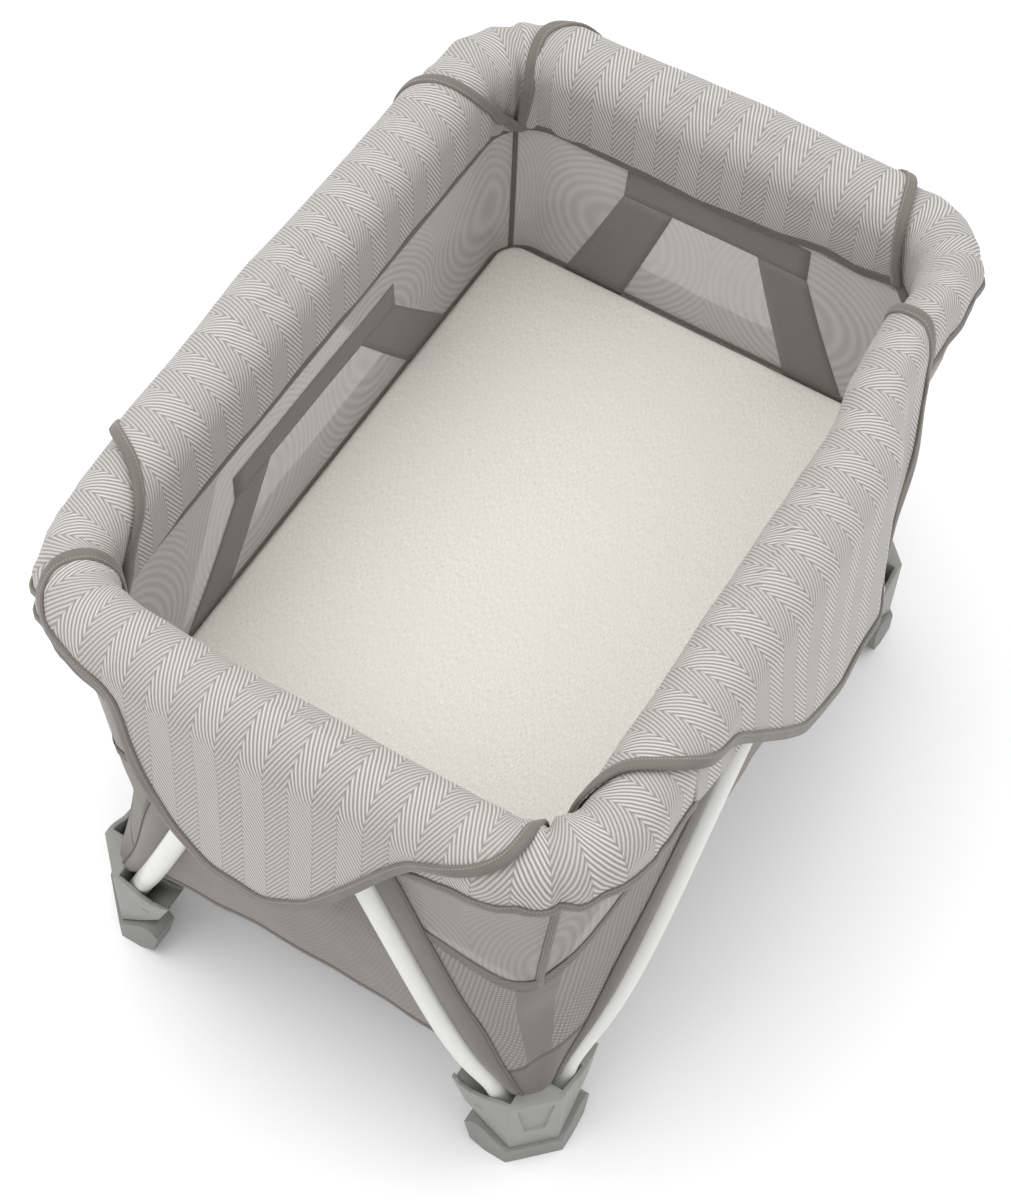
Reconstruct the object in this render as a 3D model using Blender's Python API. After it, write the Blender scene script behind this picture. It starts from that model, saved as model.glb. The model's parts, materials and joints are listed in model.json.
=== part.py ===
"""Travel play yard: four corner feet joined by eight curved leg tubes that meet
in pairs under the middle of each side, a folding padded rim, a centre hub with
four floor links, mesh and cloth walls, a mattress and its support panel.
Metres, +Z up. Origin: on the floor, under the centre of the footprint.
X runs along the long side, Y along the short side, the front is at -Y."""

import math
from collections import namedtuple
from types import SimpleNamespace

import bmesh
import bpy
from mathutils import Vector

# ---------------------------------------------------------------- dimensions
# tubes and pivots
TUBE_R = 0.0125  # leg and rail tube radius
LINK_R = 0.009  # floor link tube radius
PIN_R, HOLE_R = 0.0040, 0.0046  # pivot pin and its running hole
SLOT_W = 0.0266  # width of the leg slots
SHARP_ANGLE = math.radians(38)  # steeper edges are shaded sharp

# feet
FOOT_X, FOOT_Y = 0.445, 0.304  # outer bottom corner of a foot
HOUSE_IN = 0.006  # outer face of the housing, in from the foot's edge
HOUSE_W = 0.038  # width of a housing arm
ARM_MID = HOUSE_IN + HOUSE_W / 2  # middle of a housing arm, in from the foot's edge
BOOT_W = 0.034  # width of the rubber boot's two arms
ARM_SHIFT = 0.0002  # offset of the second arm, so that the two share no faces
HOUSE_CHAMFER, BOOT_CHAMFER = 0.052, 0.046  # cut-off at the outer corner, in plan

# padded rim
PAD_X, PAD_Y = 0.430, 0.297  # centreline of the padded rim
RIM_Z = 0.680  # centre height of the padded rim
PAD_R = 0.036  # outside radius of the rim padding
PAD_WALL = 0.0048  # thickness of the padding
PAD_SKIRT = 0.026  # straight drop of the padding below its round top
PAD_CORNER_R = 0.090  # plan radius of the rim corner
PAD_GAP = 0.0004  # gap between the ends of touching pads

# legs
SOCKET_X, SOCKET_Y, SOCKET_Z = 0.377, 0.240, 0.105  # leg pivots in the feet
TOP_HALF = 0.060  # leg pivot distance from the middle of a side, at the top
TOP_Z = 0.626  # leg pivot height at the top
LEG_OUT = 0.024  # leg plane at the top, outside the rim centreline

# rails, brackets and corner elbows
RAIL_IN = 0.015  # rail plane, inside the rim centreline
RAIL_Z = 0.685  # rail axis height
RAIL_FLAT = 0.0050  # half-thickness of a flattened rail end
RAIL_SLOT = 0.0056  # half-width of the slot for it
ELBOW_R = 0.075  # plan radius of the corner elbow
ELBOW_END = math.radians(64)  # where the elbow stops short of the long rail
ELBOW_STEPS = 7
ELBOW_X = PAD_X - RAIL_IN - ELBOW_R  # centre of the elbow's curve
ELBOW_Y = PAD_Y - RAIL_IN - ELBOW_R

# hub and floor links
HUB_PIVOT_X, HUB_PIVOT_Y, HUB_Z = 0.064, 0.0504, 0.170  # link pivots at the hub
HUB_R = 0.098
HUB_LOW = HUB_Z + LINK_R + 0.0006  # underside of the hub disc
LINK_FOOT_X, LINK_FOOT_Y, LINK_FOOT_Z = 0.385, 0.244, 0.060  # link pivots in the feet

# soft parts
WALL_X, WALL_Y = 0.397, 0.2640  # outer faces of the mesh walls
WALL_T = 0.0016
WALL_LOW, WALL_TOP = 0.362, 0.640
WALL_END = 0.006  # mesh wall ends this far short of the next wall
MATTRESS_X, MATTRESS_Y = 0.391, 0.2595
MATTRESS_LOW, MATTRESS_TOP = 0.3605, 0.397
MATTRESS_CORNER = 0.028  # plan radius of the mattress and support panel corners
MATTRESS_GAP = 0.0005  # between the mattress and its support panel
FLOOR_T = 0.004  # support panel thickness
PANEL_LOW, PANEL_TOP = 0.180, 0.560  # outer cloth panel between the legs
PETAL_R = 0.0395  # inside radius of the rim cover over the padding
PETAL_T = 0.0025

# ---------------------------------------------------------------- outlines
# up the leg: share of its length, share of the way out from foot plane to bracket plane
LEG_RUN = [
    (0.0, 0.0), (0.06, 0.006), (0.11, 0.13), (0.16, 0.30), (0.21, 0.44),
    (0.28, 0.57), (0.37, 0.67), (0.48, 0.74), (0.60, 0.80), (0.72, 0.865),
    (0.82, 0.93), (0.91, 0.995), (1.0, 1.0),
]
# rim cover flaps: place along the side, lower edge height, how far the edge stands out
LONG_PETAL = [
    (-0.310, 0.700, 0.0), (-0.270, 0.672, 0.002), (-0.200, 0.645, 0.005),
    (-0.120, 0.550, 0.010), (-0.050, 0.475, 0.014), (0.0, 0.435, 0.015),
    (0.060, 0.415, 0.015), (0.150, 0.415, 0.010), (0.210, 0.430, 0.004),
    (0.250, 0.470, 0.002), (0.290, 0.640, 0.0),
]
SHORT_PETAL = [
    (-0.205, 0.700, 0.0), (-0.185, 0.655, 0.002), (-0.160, 0.585, 0.004),
    (-0.110, 0.480, 0.008), (-0.050, 0.442, 0.010), (0.0, 0.440, 0.010),
    (0.050, 0.442, 0.010), (0.110, 0.480, 0.008), (0.160, 0.585, 0.004),
    (0.185, 0.655, 0.002), (0.205, 0.700, 0.0),
]
# outer cloth panels: place along the side, height
LONG_PANEL = [
    (-0.318, PANEL_LOW), (0.318, PANEL_LOW), (0.150, 0.470),
    (0.100, PANEL_TOP), (-0.100, PANEL_TOP), (-0.150, 0.470),
]
SHORT_PANEL = [
    (-0.175, PANEL_LOW), (0.175, PANEL_LOW), (0.100, 0.400),
    (0.080, PANEL_TOP), (-0.080, PANEL_TOP), (-0.100, 0.400),
]
# corner elbow sections: distance outside the rail axis, height
ELBOW_SECTION = [
    (-0.0010, 0.6986), (0.0134, 0.6986), (0.0134, 0.673),
    (0.0182, 0.673), (0.0182, 0.7020), (-0.0010, 0.7020),
]
ELBOW_BLOCK = [
    (-0.0125, 0.673), (0.0184, 0.673), (0.0184, 0.7020), (-0.0010, 0.7020), (-0.0125, 0.692),
]

# ---------------------------------------------------------------- sides and corners
LONG = SimpleNamespace(
    is_long=True,
    pad=PAD_Y,  # rim centreline, out from the middle
    next_pad=PAD_X,  # rim centreline of the sides it meets
    pivot_axis=(0, 1, 0),
    socket=SOCKET_X,  # lower leg pivot, along the side
    leg_plane=FOOT_Y - ARM_MID,  # plane of the leg at the feet
    leg_bow=0.010,  # how far the leg curves in from straight
    rail_start=0.103,  # rail pivot on the bracket
    rail_over=0.010,  # rail end, past the elbow's tangent point
    hang_back=0.048,  # bracket recess and leg slot, back from their pivots
    leg_slot_back=0.0145,
    wall=WALL_Y,
    next_wall=WALL_X,
    petal=LONG_PETAL,
    panel=LONG_PANEL,
)
SHORT = SimpleNamespace(
    is_long=False,
    pad=PAD_X,
    next_pad=PAD_Y,
    pivot_axis=(1, 0, 0),
    socket=SOCKET_Y,
    leg_plane=FOOT_X - ARM_MID,
    leg_bow=0.006,
    rail_start=0.045,
    rail_over=0.0,
    hang_back=0.024,
    leg_slot_back=0.0225,
    wall=WALL_X,
    next_wall=WALL_Y,
    petal=SHORT_PETAL,
    panel=SHORT_PANEL,
)
# place(along the side, outwards from the centre, height) gives a point
SIDES = {
    "front": (lambda along, out, z: Vector((along, -out, z)), LONG),
    "back": (lambda along, out, z: Vector((along, out, z)), LONG),
    "left": (lambda along, out, z: Vector((-out, along, z)), SHORT),
    "right": (lambda along, out, z: Vector((out, along, z)), SHORT),
}
END_NAMES = {-1: "neg", 1: "pos"}
CORNERS = {"fl": (-1, -1), "fr": (1, -1), "bl": (-1, 1), "br": (1, 1)}

# ---------------------------------------------------------------- materials
Look = namedtuple("Look", "colour roughness metallic", defaults=(0.0,))

PLASTIC = Look(colour=(0.22, 0.22, 0.215), roughness=0.45)
RUBBER = Look(colour=(0.20, 0.20, 0.195), roughness=0.7)
METAL = Look(colour=(0.80, 0.80, 0.78), roughness=0.35, metallic=0.3)
DARK = Look(colour=(0.08, 0.08, 0.08), roughness=0.5)
WEAVE = Look(colour=(0.55, 0.53, 0.51), roughness=0.9)
FOAM = Look(colour=(0.60, 0.58, 0.56), roughness=0.9)
MESH = Look(colour=(0.45, 0.43, 0.42), roughness=0.9)
TAUPE = Look(colour=(0.28, 0.26, 0.25), roughness=0.9)
SHEET = Look(colour=(0.72, 0.67, 0.63), roughness=0.9)


def material(name, look):
    mat = bpy.data.materials.new(name)
    mat.use_nodes = True
    shader = mat.node_tree.nodes["Principled BSDF"]
    shader.inputs["Base Color"].default_value = (*look.colour, 1)
    shader.inputs["Roughness"].default_value = look.roughness
    shader.inputs["Metallic"].default_value = look.metallic
    mat.diffuse_color = (*look.colour, 1)
    return mat


# ---------------------------------------------------------------- objects
def make(name, geometry, look=None, at=(0, 0, 0)):
    """One closed mesh, its normals turned out, its origin at `at`."""
    verts, faces = geometry
    origin = Vector(at)
    bm = bmesh.new()
    mesh_verts = [bm.verts.new(Vector(v) - origin) for v in verts]
    for face in faces:
        bm.faces.new([mesh_verts[i] for i in face])
    bmesh.ops.recalc_face_normals(bm, faces=bm.faces)
    if bm.calc_volume(signed=True) < 0:
        bmesh.ops.reverse_faces(bm, faces=bm.faces)
    for face in bm.faces:
        face.smooth = True
    for edge in bm.edges:
        if len(edge.link_faces) == 2 and edge.calc_face_angle(0) > SHARP_ANGLE:
            edge.smooth = False
    mesh = bpy.data.meshes.new(name)
    bm.to_mesh(mesh)
    bm.free()
    ob = bpy.data.objects.new(name, mesh)
    ob.location = origin
    bpy.context.scene.collection.objects.link(ob)
    if look:
        mesh.materials.append(material(name + "_mat", look))
    return ob


def boolean(ob, part, geometry, operation):
    """Hidden helper solid, applied to ob by a live modifier."""
    tool = make(f"tool_{ob.name}_{part}", geometry)
    tool.hide_render = True
    tool.display_type = "WIRE"
    mod = ob.modifiers.new(f"{operation.lower()}_{tool.name}", "BOOLEAN")
    mod.operation = operation
    mod.object = tool
    mod.solver = "EXACT"


def cut(ob, part, geometry):
    boolean(ob, part, geometry, "DIFFERENCE")


def join(ob, part, geometry):
    boolean(ob, part, geometry, "UNION")


# ---------------------------------------------------------------- geometry: (verts, faces)
def loft(rings):
    """Closed skin over rings of equal length."""
    n = len(rings[0])
    verts = [p for r in rings for p in r]
    faces = [list(range(n))[::-1], list(range((len(rings) - 1) * n, len(rings) * n))]
    for k in range(len(rings) - 1):
        for i in range(n):
            j = (i + 1) % n
            faces.append([k * n + i, k * n + j, (k + 1) * n + j, (k + 1) * n + i])
    return verts, faces


def prism(outline, place, start, end):
    """Outline in two coordinates, pushed from start to end along place's third one."""
    return loft([[place(p, q, r) for p, q in outline] for r in (start, end)])


def box(place, low, high):
    outline = [(low[0], low[1]), (high[0], low[1]), (high[0], high[1]), (low[0], high[1])]
    return prism(outline, place, low[2], high[2])


def tube(points, pivot_axis, radius, sides=10, flat=(None, None)):
    """Round tube through points, each end closed round the pivot in the bending
    plane. flat = (first, last) half-thickness along the pivot axis at each end,
    None for a full round."""
    path = [Vector(p) for p in points]
    pivot = Vector(pivot_axis).normalized()

    def ring(centre, tangent, bend_r, pivot_r):
        forward = tangent.normalized()
        side = pivot.cross(forward).normalized()
        across = forward.cross(side).normalized()
        angles = [2 * math.pi * (i + 0.5) / sides for i in range(sides)]
        return [
            centre + side * (bend_r * math.cos(a)) + across * (pivot_r * math.sin(a))
            for a in angles
        ]

    def end_rings(tip, tangent, inward, thin):
        """From the rounded tip into the tube; inward is +1 or -1 along tangent."""
        into = tangent.normalized() * inward
        rings = []
        for share in (0.93, 0.70, 0.35):
            bend_r = radius * math.sqrt(1 - share**2)
            rings.append(ring(tip - into * radius * share, tangent, bend_r, thin or bend_r))
        rings.append(ring(tip, tangent, radius, thin or radius))
        if thin:
            # flat as far as 22 mm, full round again at 36 mm
            rings.append(ring(tip + into * 0.022, tangent, radius, thin))
            rings.append(ring(tip + into * 0.036, tangent, radius, radius))
        return rings

    middle = [
        ring(path[k], path[k + 1] - path[k - 1], radius, radius)
        for k in range(1, len(path) - 1)
    ]
    first = end_rings(path[0], path[1] - path[0], 1, flat[0])
    last = end_rings(path[-1], path[-1] - path[-2], -1, flat[1])
    return loft(first + middle + last[::-1])


def rod(centre, axis, radius, half, sides=12):
    """Cylinder reaching `half` to each side of its centre."""
    along = Vector(axis).normalized()
    middle = Vector(centre)
    side = along.orthogonal().normalized()
    across = along.cross(side)
    angles = [2 * math.pi * i / sides for i in range(sides)]
    return loft([
        [
            middle + along * h + side * (radius * math.cos(a)) + across * (radius * math.sin(a))
            for a in angles
        ]
        for h in (-half, half)
    ])


def quadrant(corner):
    """place(x, y, z) with x and y counted outwards to the given corner."""
    dir_x, dir_y = CORNERS[corner]
    return lambda x, y, z: Vector((dir_x * x, dir_y * y, z))


# ---------------------------------------------------------------- floor link frame
# from a hub pivot out to its foot pivot, in plan, and square to that
LINK_DIR = Vector((LINK_FOOT_X - HUB_PIVOT_X, LINK_FOOT_Y - HUB_PIVOT_Y, 0)).normalized()
LINK_SIDE = Vector((-LINK_DIR.y, LINK_DIR.x, 0))


def link_axis(corner):
    return quadrant(corner)(*LINK_SIDE)


def link_frame(corner, pivot_x, pivot_y, offset):
    """place(along the link, across it, z), from a point `offset` beside the pivot."""
    place = quadrant(corner)

    def local(along, across, z):
        point = Vector((pivot_x, pivot_y, 0)) + LINK_DIR * along + LINK_SIDE * (across + offset)
        return place(point.x, point.y, z)

    return local


# ---------------------------------------------------------------- feet
def foot_frames(corner):
    """Three ways to place points, all measured in from the foot's outer corner:
    plan(x, y, z), along_x(x, z, y) and along_y(y, z, x)."""
    place = quadrant(corner)

    def plan(x, y, z):
        return place(FOOT_X - x, FOOT_Y - y, z)

    def along_x(x, z, y):
        return plan(x, y, z)

    def along_y(y, z, x):
        return plan(x, y, z)

    return plan, along_x, along_y


def housing_profile(start, tip):
    """Side view of one arm: distance from the outer corner, height."""
    return [
        (start, 0.030), (0.042, 0.030), (0.074, 0.062), (0.103, 0.096),
        (tip, 0.140), (tip - 0.010, 0.129), (0.096, 0.1235), (0.080, 0.1275),
        (0.062, 0.139), (0.044, 0.146), (start, 0.146),
    ]


def boot_profile(start):
    """Side view of one boot arm, with a raised ear at its end."""
    return [
        (start, 0.0), (0.072, 0.0), (0.092, 0.012), (0.100, 0.050), (0.092, 0.0615),
        (0.0770, 0.0590), (0.0458, 0.0296), (start, 0.0296),
    ]


def leg_slot_profile(pivot, lean):
    """Slot round a leg pivot, open upwards so that the leg can swing from
    upright to its lean (radians)."""
    top = 0.30
    reach = 0.15  # length of the slot's sloping side
    clear = TUBE_R + 0.0009
    sin, cos = math.sin(lean), math.cos(lean)
    halfway = (math.pi / 2 + lean) / 2
    edge_w, edge_z = pivot + clear * cos, SOCKET_Z - clear * sin
    return [
        (pivot - clear, top),
        (pivot - clear, SOCKET_Z - 0.004),
        (pivot - clear * 0.7, SOCKET_Z - clear * 0.8),
        (pivot, SOCKET_Z - clear),
        (
            pivot + clear * 1.05 * math.cos(halfway),
            SOCKET_Z - clear * 1.05 * math.sin(halfway),
        ),
        (edge_w, edge_z),
        (edge_w + reach * sin, edge_z + reach * cos),
        (edge_w + reach * sin, top),
    ]


def cut_corner(ob, plan, chamfer, low, high):
    """Takes off the outer corner diagonally."""
    past = 0.02
    triangle = [(-past, -past), (chamfer + past, -past), (-past, chamfer + past)]
    cut(ob, "corner", prism(triangle, plan, low, high))


def foot(corner):
    plan, along_x, along_y = foot_frames(corner)
    house_end = HOUSE_IN + HOUSE_W
    ob = make(
        "foot_" + corner,
        prism(housing_profile(HOUSE_IN, 0.121), along_x, HOUSE_IN, house_end),
        PLASTIC,
    )
    shifted = HOUSE_IN + ARM_SHIFT
    second_arm = housing_profile(shifted, 0.1205)
    join(ob, "arm", prism(second_arm, along_y, shifted, house_end + ARM_SHIFT))
    # clevis cheeks for the floor link
    for k, offset in enumerate((-0.0125, 0.0125)):
        lug = link_frame(corner, LINK_FOOT_X, LINK_FOOT_Y, offset)
        join(ob, f"lug{k}", box(lug, (0.034, -0.0030, 0.048), (-0.011, 0.0030, 0.0735)))
    cut_corner(ob, plan, HOUSE_CHAMFER, 0.0, 0.20)

    def face_quad(half_1, z_1, half_2, z_2, depth):
        """Four points parallel to the diagonal face, `depth` inside it: one edge
        at z_1 and one at z_2, each with its own half-width."""
        diagonal = math.sqrt(0.5)
        middle = HOUSE_CHAMFER / 2
        points = ((-half_1, z_1), (half_1, z_1), (half_2, z_2), (-half_2, z_2))
        return [
            plan(
                middle + across * diagonal + depth * diagonal,
                middle - across * diagonal + depth * diagonal,
                z,
            )
            for across, z in points
        ]

    # shallow tapering recess in the diagonal face
    cut(ob, "recess", loft([
        face_quad(0.0225, 0.132, 0.0125, 0.066, -0.004),
        face_quad(0.0205, 0.130, 0.0110, 0.071, 0.0032),
    ]))
    # sloped top between the tubes
    cut(ob, "top", loft([
        face_quad(0.05, 0.136, 0.05, 0.20, -0.03),
        face_quad(0.05, 0.149, 0.05, 0.20, 0.06),
    ]))
    # arms: label, place, leg pivot from the corner, lean of the leg from upright, pin axis
    arms = (
        ("x", along_x, FOOT_X - SOCKET_X, 0.60, LONG.pivot_axis),
        ("y", along_y, FOOT_Y - SOCKET_Y, 0.86, SHORT.pivot_axis),
    )
    for label, place, pivot, lean, _ in arms:
        outline = leg_slot_profile(pivot, lean)
        slot = prism(outline, place, ARM_MID - SLOT_W / 2, ARM_MID + SLOT_W / 2)
        cut(ob, "slot" + label, slot)
    for label, place, pivot, _, axis in arms:
        pin_at = place(pivot, SOCKET_Z, ARM_MID)
        join(ob, "pin" + label, rod(pin_at, axis, PIN_R, SLOT_W / 2 + 0.002))
        # small screw slot in the arm's outer wall
        low = (0.080, 0.098, HOUSE_IN - 0.002)
        high = (0.090, 0.1015, HOUSE_IN + 0.0012)
        cut(ob, "screw" + label, box(place, low, high))
    link_pivot = quadrant(corner)(LINK_FOOT_X, LINK_FOOT_Y, LINK_FOOT_Z)
    join(ob, "linkpin", rod(link_pivot, link_axis(corner), PIN_R, 0.0110))


def boot(corner):
    """Rubber boot: a stepped sole with raised ears at its two ends."""
    plan, along_x, along_y = foot_frames(corner)
    ob = make("boot_" + corner, prism(boot_profile(0.0), along_x, 0.0, BOOT_W), RUBBER)
    second_arm = prism(boot_profile(ARM_SHIFT), along_y, ARM_SHIFT, BOOT_W + ARM_SHIFT)
    join(ob, "arm", second_arm)
    cut_corner(ob, plan, BOOT_CHAMFER, -0.01, 0.10)


# ---------------------------------------------------------------- legs and rails
def leg(side, end):
    """One leg; end = -1 or +1 along the side."""
    place, kind = SIDES[side]
    run = kind.socket - TOP_HALF
    rise = TOP_Z - SOCKET_Z
    chord = math.hypot(run, rise)
    step_out = kind.pad + LEG_OUT - kind.leg_plane
    points = []
    for share, out in LEG_RUN:
        bow = kind.leg_bow * 4 * share * (1 - share)
        along = kind.socket - run * share - bow * rise / chord
        z = SOCKET_Z + rise * share - bow * run / chord
        points.append(place(end * along, kind.leg_plane + step_out * out, z))
    axis = kind.pivot_axis
    name = f"leg_{side}_{END_NAMES[end]}"
    ob = make(name, tube(points, axis, TUBE_R), METAL, at=points[0])
    for k, pivot in enumerate((points[0], points[-1])):
        cut(ob, f"hole{k}", rod(pivot, axis, HOLE_R, 0.03))


def rail(side, end):
    """Half of a side's top rail, from its bracket to the corner elbow."""
    place, kind = SIDES[side]
    start = kind.rail_start
    stop = kind.next_pad - RAIL_IN - ELBOW_R + kind.rail_over
    points = [
        place(end * (start + (stop - start) * share), kind.pad - RAIL_IN, RAIL_Z)
        for share in (0, 0.35, 0.55, 0.75, 1)
    ]
    axis = kind.pivot_axis
    # only the short rails are flattened and pivoted at the elbow too
    flat = (RAIL_FLAT, None if kind.is_long else RAIL_FLAT)
    name = f"rail_{side}_{END_NAMES[end]}"
    ob = make(name, tube(points, axis, TUBE_R, flat=flat), METAL, at=points[0])
    cut(ob, "hole0", rod(points[0], axis, HOLE_R, 0.02))
    if not kind.is_long:
        cut(ob, "hole1", rod(points[-1], axis, HOLE_R, 0.02))


# ---------------------------------------------------------------- brackets and elbows
def bracket(side):
    """Top bracket in the middle of a side, holding two rails and two legs."""
    place, kind = SIDES[side]
    pad, rail_start = kind.pad, kind.rail_start
    rail_out, leg_out = pad - RAIL_IN, pad + LEG_OUT
    half_len = max(rail_start, TOP_HALF) + 0.016
    inner, outer = pad - 0.027, leg_out + SLOT_W / 2 + 0.004
    # outwards, height
    section = [
        (inner, 0.606), (inner + 0.004, 0.602), (outer - 0.004, 0.602), (outer, 0.606),
        (outer, 0.646), (pad + 0.0295, 0.652), (pad + 0.0295, 0.682),
        (pad + 0.0215, 0.6985), (inner + 0.0065, 0.6985), (inner, 0.688),
    ]
    body = prism(section, lambda out, z, along: place(along, out, z), -half_len, half_len)
    ob = make("bracket_" + side, body, PLASTIC, at=place(0, pad, TOP_Z))

    def end_box(end, start, out_range, z_range):
        """Box from `start` along the side to past the bracket's end."""
        low, high = sorted((end * start, end * (half_len + 0.01)))
        return box(place, (low, out_range[0], z_range[0]), (high, out_range[1], z_range[1]))

    for end in (-1, 1):
        cut(ob, f"railslot{end + 1}", end_box(
            end, rail_start - 0.040, (rail_out - RAIL_SLOT, rail_out + RAIL_SLOT), (0.59, 0.72)))
        # wide lower half, where the round rail hangs when folded
        cut(ob, f"hang{end + 1}", end_box(
            end, rail_start - kind.hang_back,
            (rail_out - 0.0180, rail_out + 0.0136), (0.585, RAIL_Z - TUBE_R)))
        if not kind.is_long:
            # wider mouth where the rail is round again
            cut(ob, f"mouth{end + 1}", end_box(
                end, rail_start + 0.0165, (rail_out - 0.0140, rail_out + 0.0134), (0.59, 0.72)))
        cut(ob, f"legslot{end + 1}", end_box(
            end, TOP_HALF - kind.leg_slot_back,
            (leg_out - SLOT_W / 2, leg_out + SLOT_W / 2), (0.59, TOP_Z + TUBE_R + 0.0012)))
    for end in (-1, 1):
        rail_pivot = place(end * rail_start, rail_out, RAIL_Z)
        leg_pivot = place(end * TOP_HALF, leg_out, TOP_Z)
        join(ob, f"railpin{end + 1}", rod(rail_pivot, kind.pivot_axis, PIN_R, 0.0072))
        join(ob, f"legpin{end + 1}", rod(leg_pivot, kind.pivot_axis, PIN_R, SLOT_W / 2 + 0.0018))
    # pocket for the release button, open downwards
    cut(ob, "pocket", box(
        place, (-0.0135, pad - 0.0105, 0.590), (0.0135, pad + 0.0105, 0.6215)))


def button(side):
    """Release button, pressed upwards into the bracket."""
    place, kind = SIDES[side]
    outline = [(-0.0130, -0.0100), (0.0130, -0.0100), (0.0130, 0.0100), (-0.0130, 0.0100)]
    # scale of the outline, height
    levels = ((0.85, 0.5955), (1, 0.5980), (1, 0.6140))
    rings = [
        [place(along * scale, kind.pad + out * scale, z) for along, out in outline]
        for scale, z in levels
    ]
    make("button_" + side, loft(rings), DARK, at=place(0, kind.pad, 0.606))


def elbow(corner):
    """Corner piece: an angle section round the outside and over the top of the
    rail ends, with a clevis for the short rail."""
    place = quadrant(corner)
    rail_x = PAD_X - RAIL_IN
    rings = []
    # from the short rail's end (angle 0) round towards the long rail
    for k in range(ELBOW_STEPS + 1):
        angle = ELBOW_END * k / ELBOW_STEPS
        ring = []
        for out, z in ELBOW_SECTION:
            point = Vector((math.cos(angle), math.sin(angle), 0)) * (ELBOW_R + out)
            ring.append(place(ELBOW_X + point.x, ELBOW_Y + point.y, z))
        rings.append(ring)
    pivot = place(rail_x, ELBOW_Y, RAIL_Z)
    ob = make("elbow_" + corner, loft(rings), PLASTIC, at=pivot)
    join(ob, "block", prism(
        ELBOW_BLOCK, lambda out, z, y: place(rail_x + out, y, z),
        ELBOW_Y - 0.0145, ELBOW_Y + 0.022))
    cut(ob, "slot", box(
        place, (rail_x - RAIL_SLOT, ELBOW_Y - 0.03, 0.66),
        (rail_x + RAIL_SLOT, ELBOW_Y + 0.0175, 0.72)))
    join(ob, "pin", rod(pivot, SHORT.pivot_axis, PIN_R, 0.0075))


# ---------------------------------------------------------------- hub and floor links
def hub():
    """Disc with a clevis for the front left link; its origin is that link's pivot."""
    sides = 24
    angles = [2 * math.pi * i / sides for i in range(sides)]
    # radius, height: the top edge is bevelled
    levels = ((HUB_R, HUB_LOW), (HUB_R, HUB_LOW + 0.008), (HUB_R - 0.010, HUB_LOW + 0.013))
    rings = [
        [Vector((radius * math.cos(a), radius * math.sin(a), z)) for a in angles]
        for radius, z in levels
    ]
    pivot = quadrant("fl")(HUB_PIVOT_X, HUB_PIVOT_Y, HUB_Z)
    ob = make("hub", loft(rings), PLASTIC, at=pivot)
    for k, offset in enumerate((-0.0130, 0.0130)):
        cheek = link_frame("fl", HUB_PIVOT_X, HUB_PIVOT_Y, offset)
        join(ob, f"cheek{k}", box(
            cheek, (-0.010, -0.0026, HUB_Z - 0.009), (0.010, 0.0026, HUB_LOW + 0.004)))
    join(ob, "pin", rod(pivot, link_axis("fl"), PIN_R, 0.0125))
    # finger well of the pull handle, and the grip bar across it
    place = quadrant("br")
    cut(ob, "well", box(
        place, (-0.045, -0.016, HUB_LOW + 0.006), (0.045, 0.016, HUB_LOW + 0.03)))
    join(ob, "grip", box(
        place, (-0.050, -0.006, HUB_LOW + 0.0095), (0.050, 0.006, HUB_LOW + 0.0130)))


def link(corner):
    place = quadrant(corner)
    low = place(LINK_FOOT_X, LINK_FOOT_Y, LINK_FOOT_Z)
    high = place(HUB_PIVOT_X, HUB_PIVOT_Y, HUB_Z)
    axis = link_axis(corner)
    points = [low + (high - low) * share for share in (0, 0.3, 0.6, 1)]
    ob = make("link_" + corner, tube(points, axis, LINK_R, sides=8), METAL, at=low)
    cut(ob, "hole0", rod(low, axis, HOLE_R, 0.02))
    # the hub has a pin for this link only
    if corner == "fl":
        cut(ob, "hole1", rod(high, axis, HOLE_R, 0.02))


# ---------------------------------------------------------------- soft parts
def pad_section():
    """Closed section of the padding folded over the rim: (offset outwards, z)."""
    steps = 8
    inside = PAD_R - PAD_WALL
    low = RIM_Z - PAD_SKIRT
    angles = [math.pi * k / steps for k in range(steps + 1)]
    outer, inner = [
        [(r * math.cos(a), RIM_Z + r * math.sin(a)) for a in angles] for r in (PAD_R, inside)
    ]
    return (
        [(PAD_R, low)] + outer + [(-PAD_R, low)]
        + [(-inside, low)] + inner[::-1] + [(inside, low)]
    )


def rim_pad(side):
    """Padding of one side; the short pads carry the rounded corners."""
    place, kind = SIDES[side]
    section = pad_section()
    straight = kind.next_pad - PAD_CORNER_R
    steps = 6

    def corner_ring(end, angle):
        return [
            place(
                end * (straight + math.sin(angle) * (PAD_CORNER_R + out)),
                kind.pad - PAD_CORNER_R + math.cos(angle) * (PAD_CORNER_R + out),
                z,
            )
            for out, z in section
        ]

    if kind.is_long:
        rings = [
            [place(end * (straight - PAD_GAP), kind.pad + out, z) for out, z in section]
            for end in (-1, 1)
        ]
    else:
        rings = [corner_ring(-1, math.pi / 2 * (1 - k / steps)) for k in range(steps + 1)]
        rings += [corner_ring(1, math.pi / 2 * k / steps) for k in range(steps + 1)]
    make("rim_pad_" + side, loft(rings), FOAM, at=place(0, kind.pad, RIM_Z))


def ease(t):
    """Smooth step from 0 to 1."""
    t = min(max(t, 0.0), 1.0)
    return t * t * (3 - 2 * t)


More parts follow.
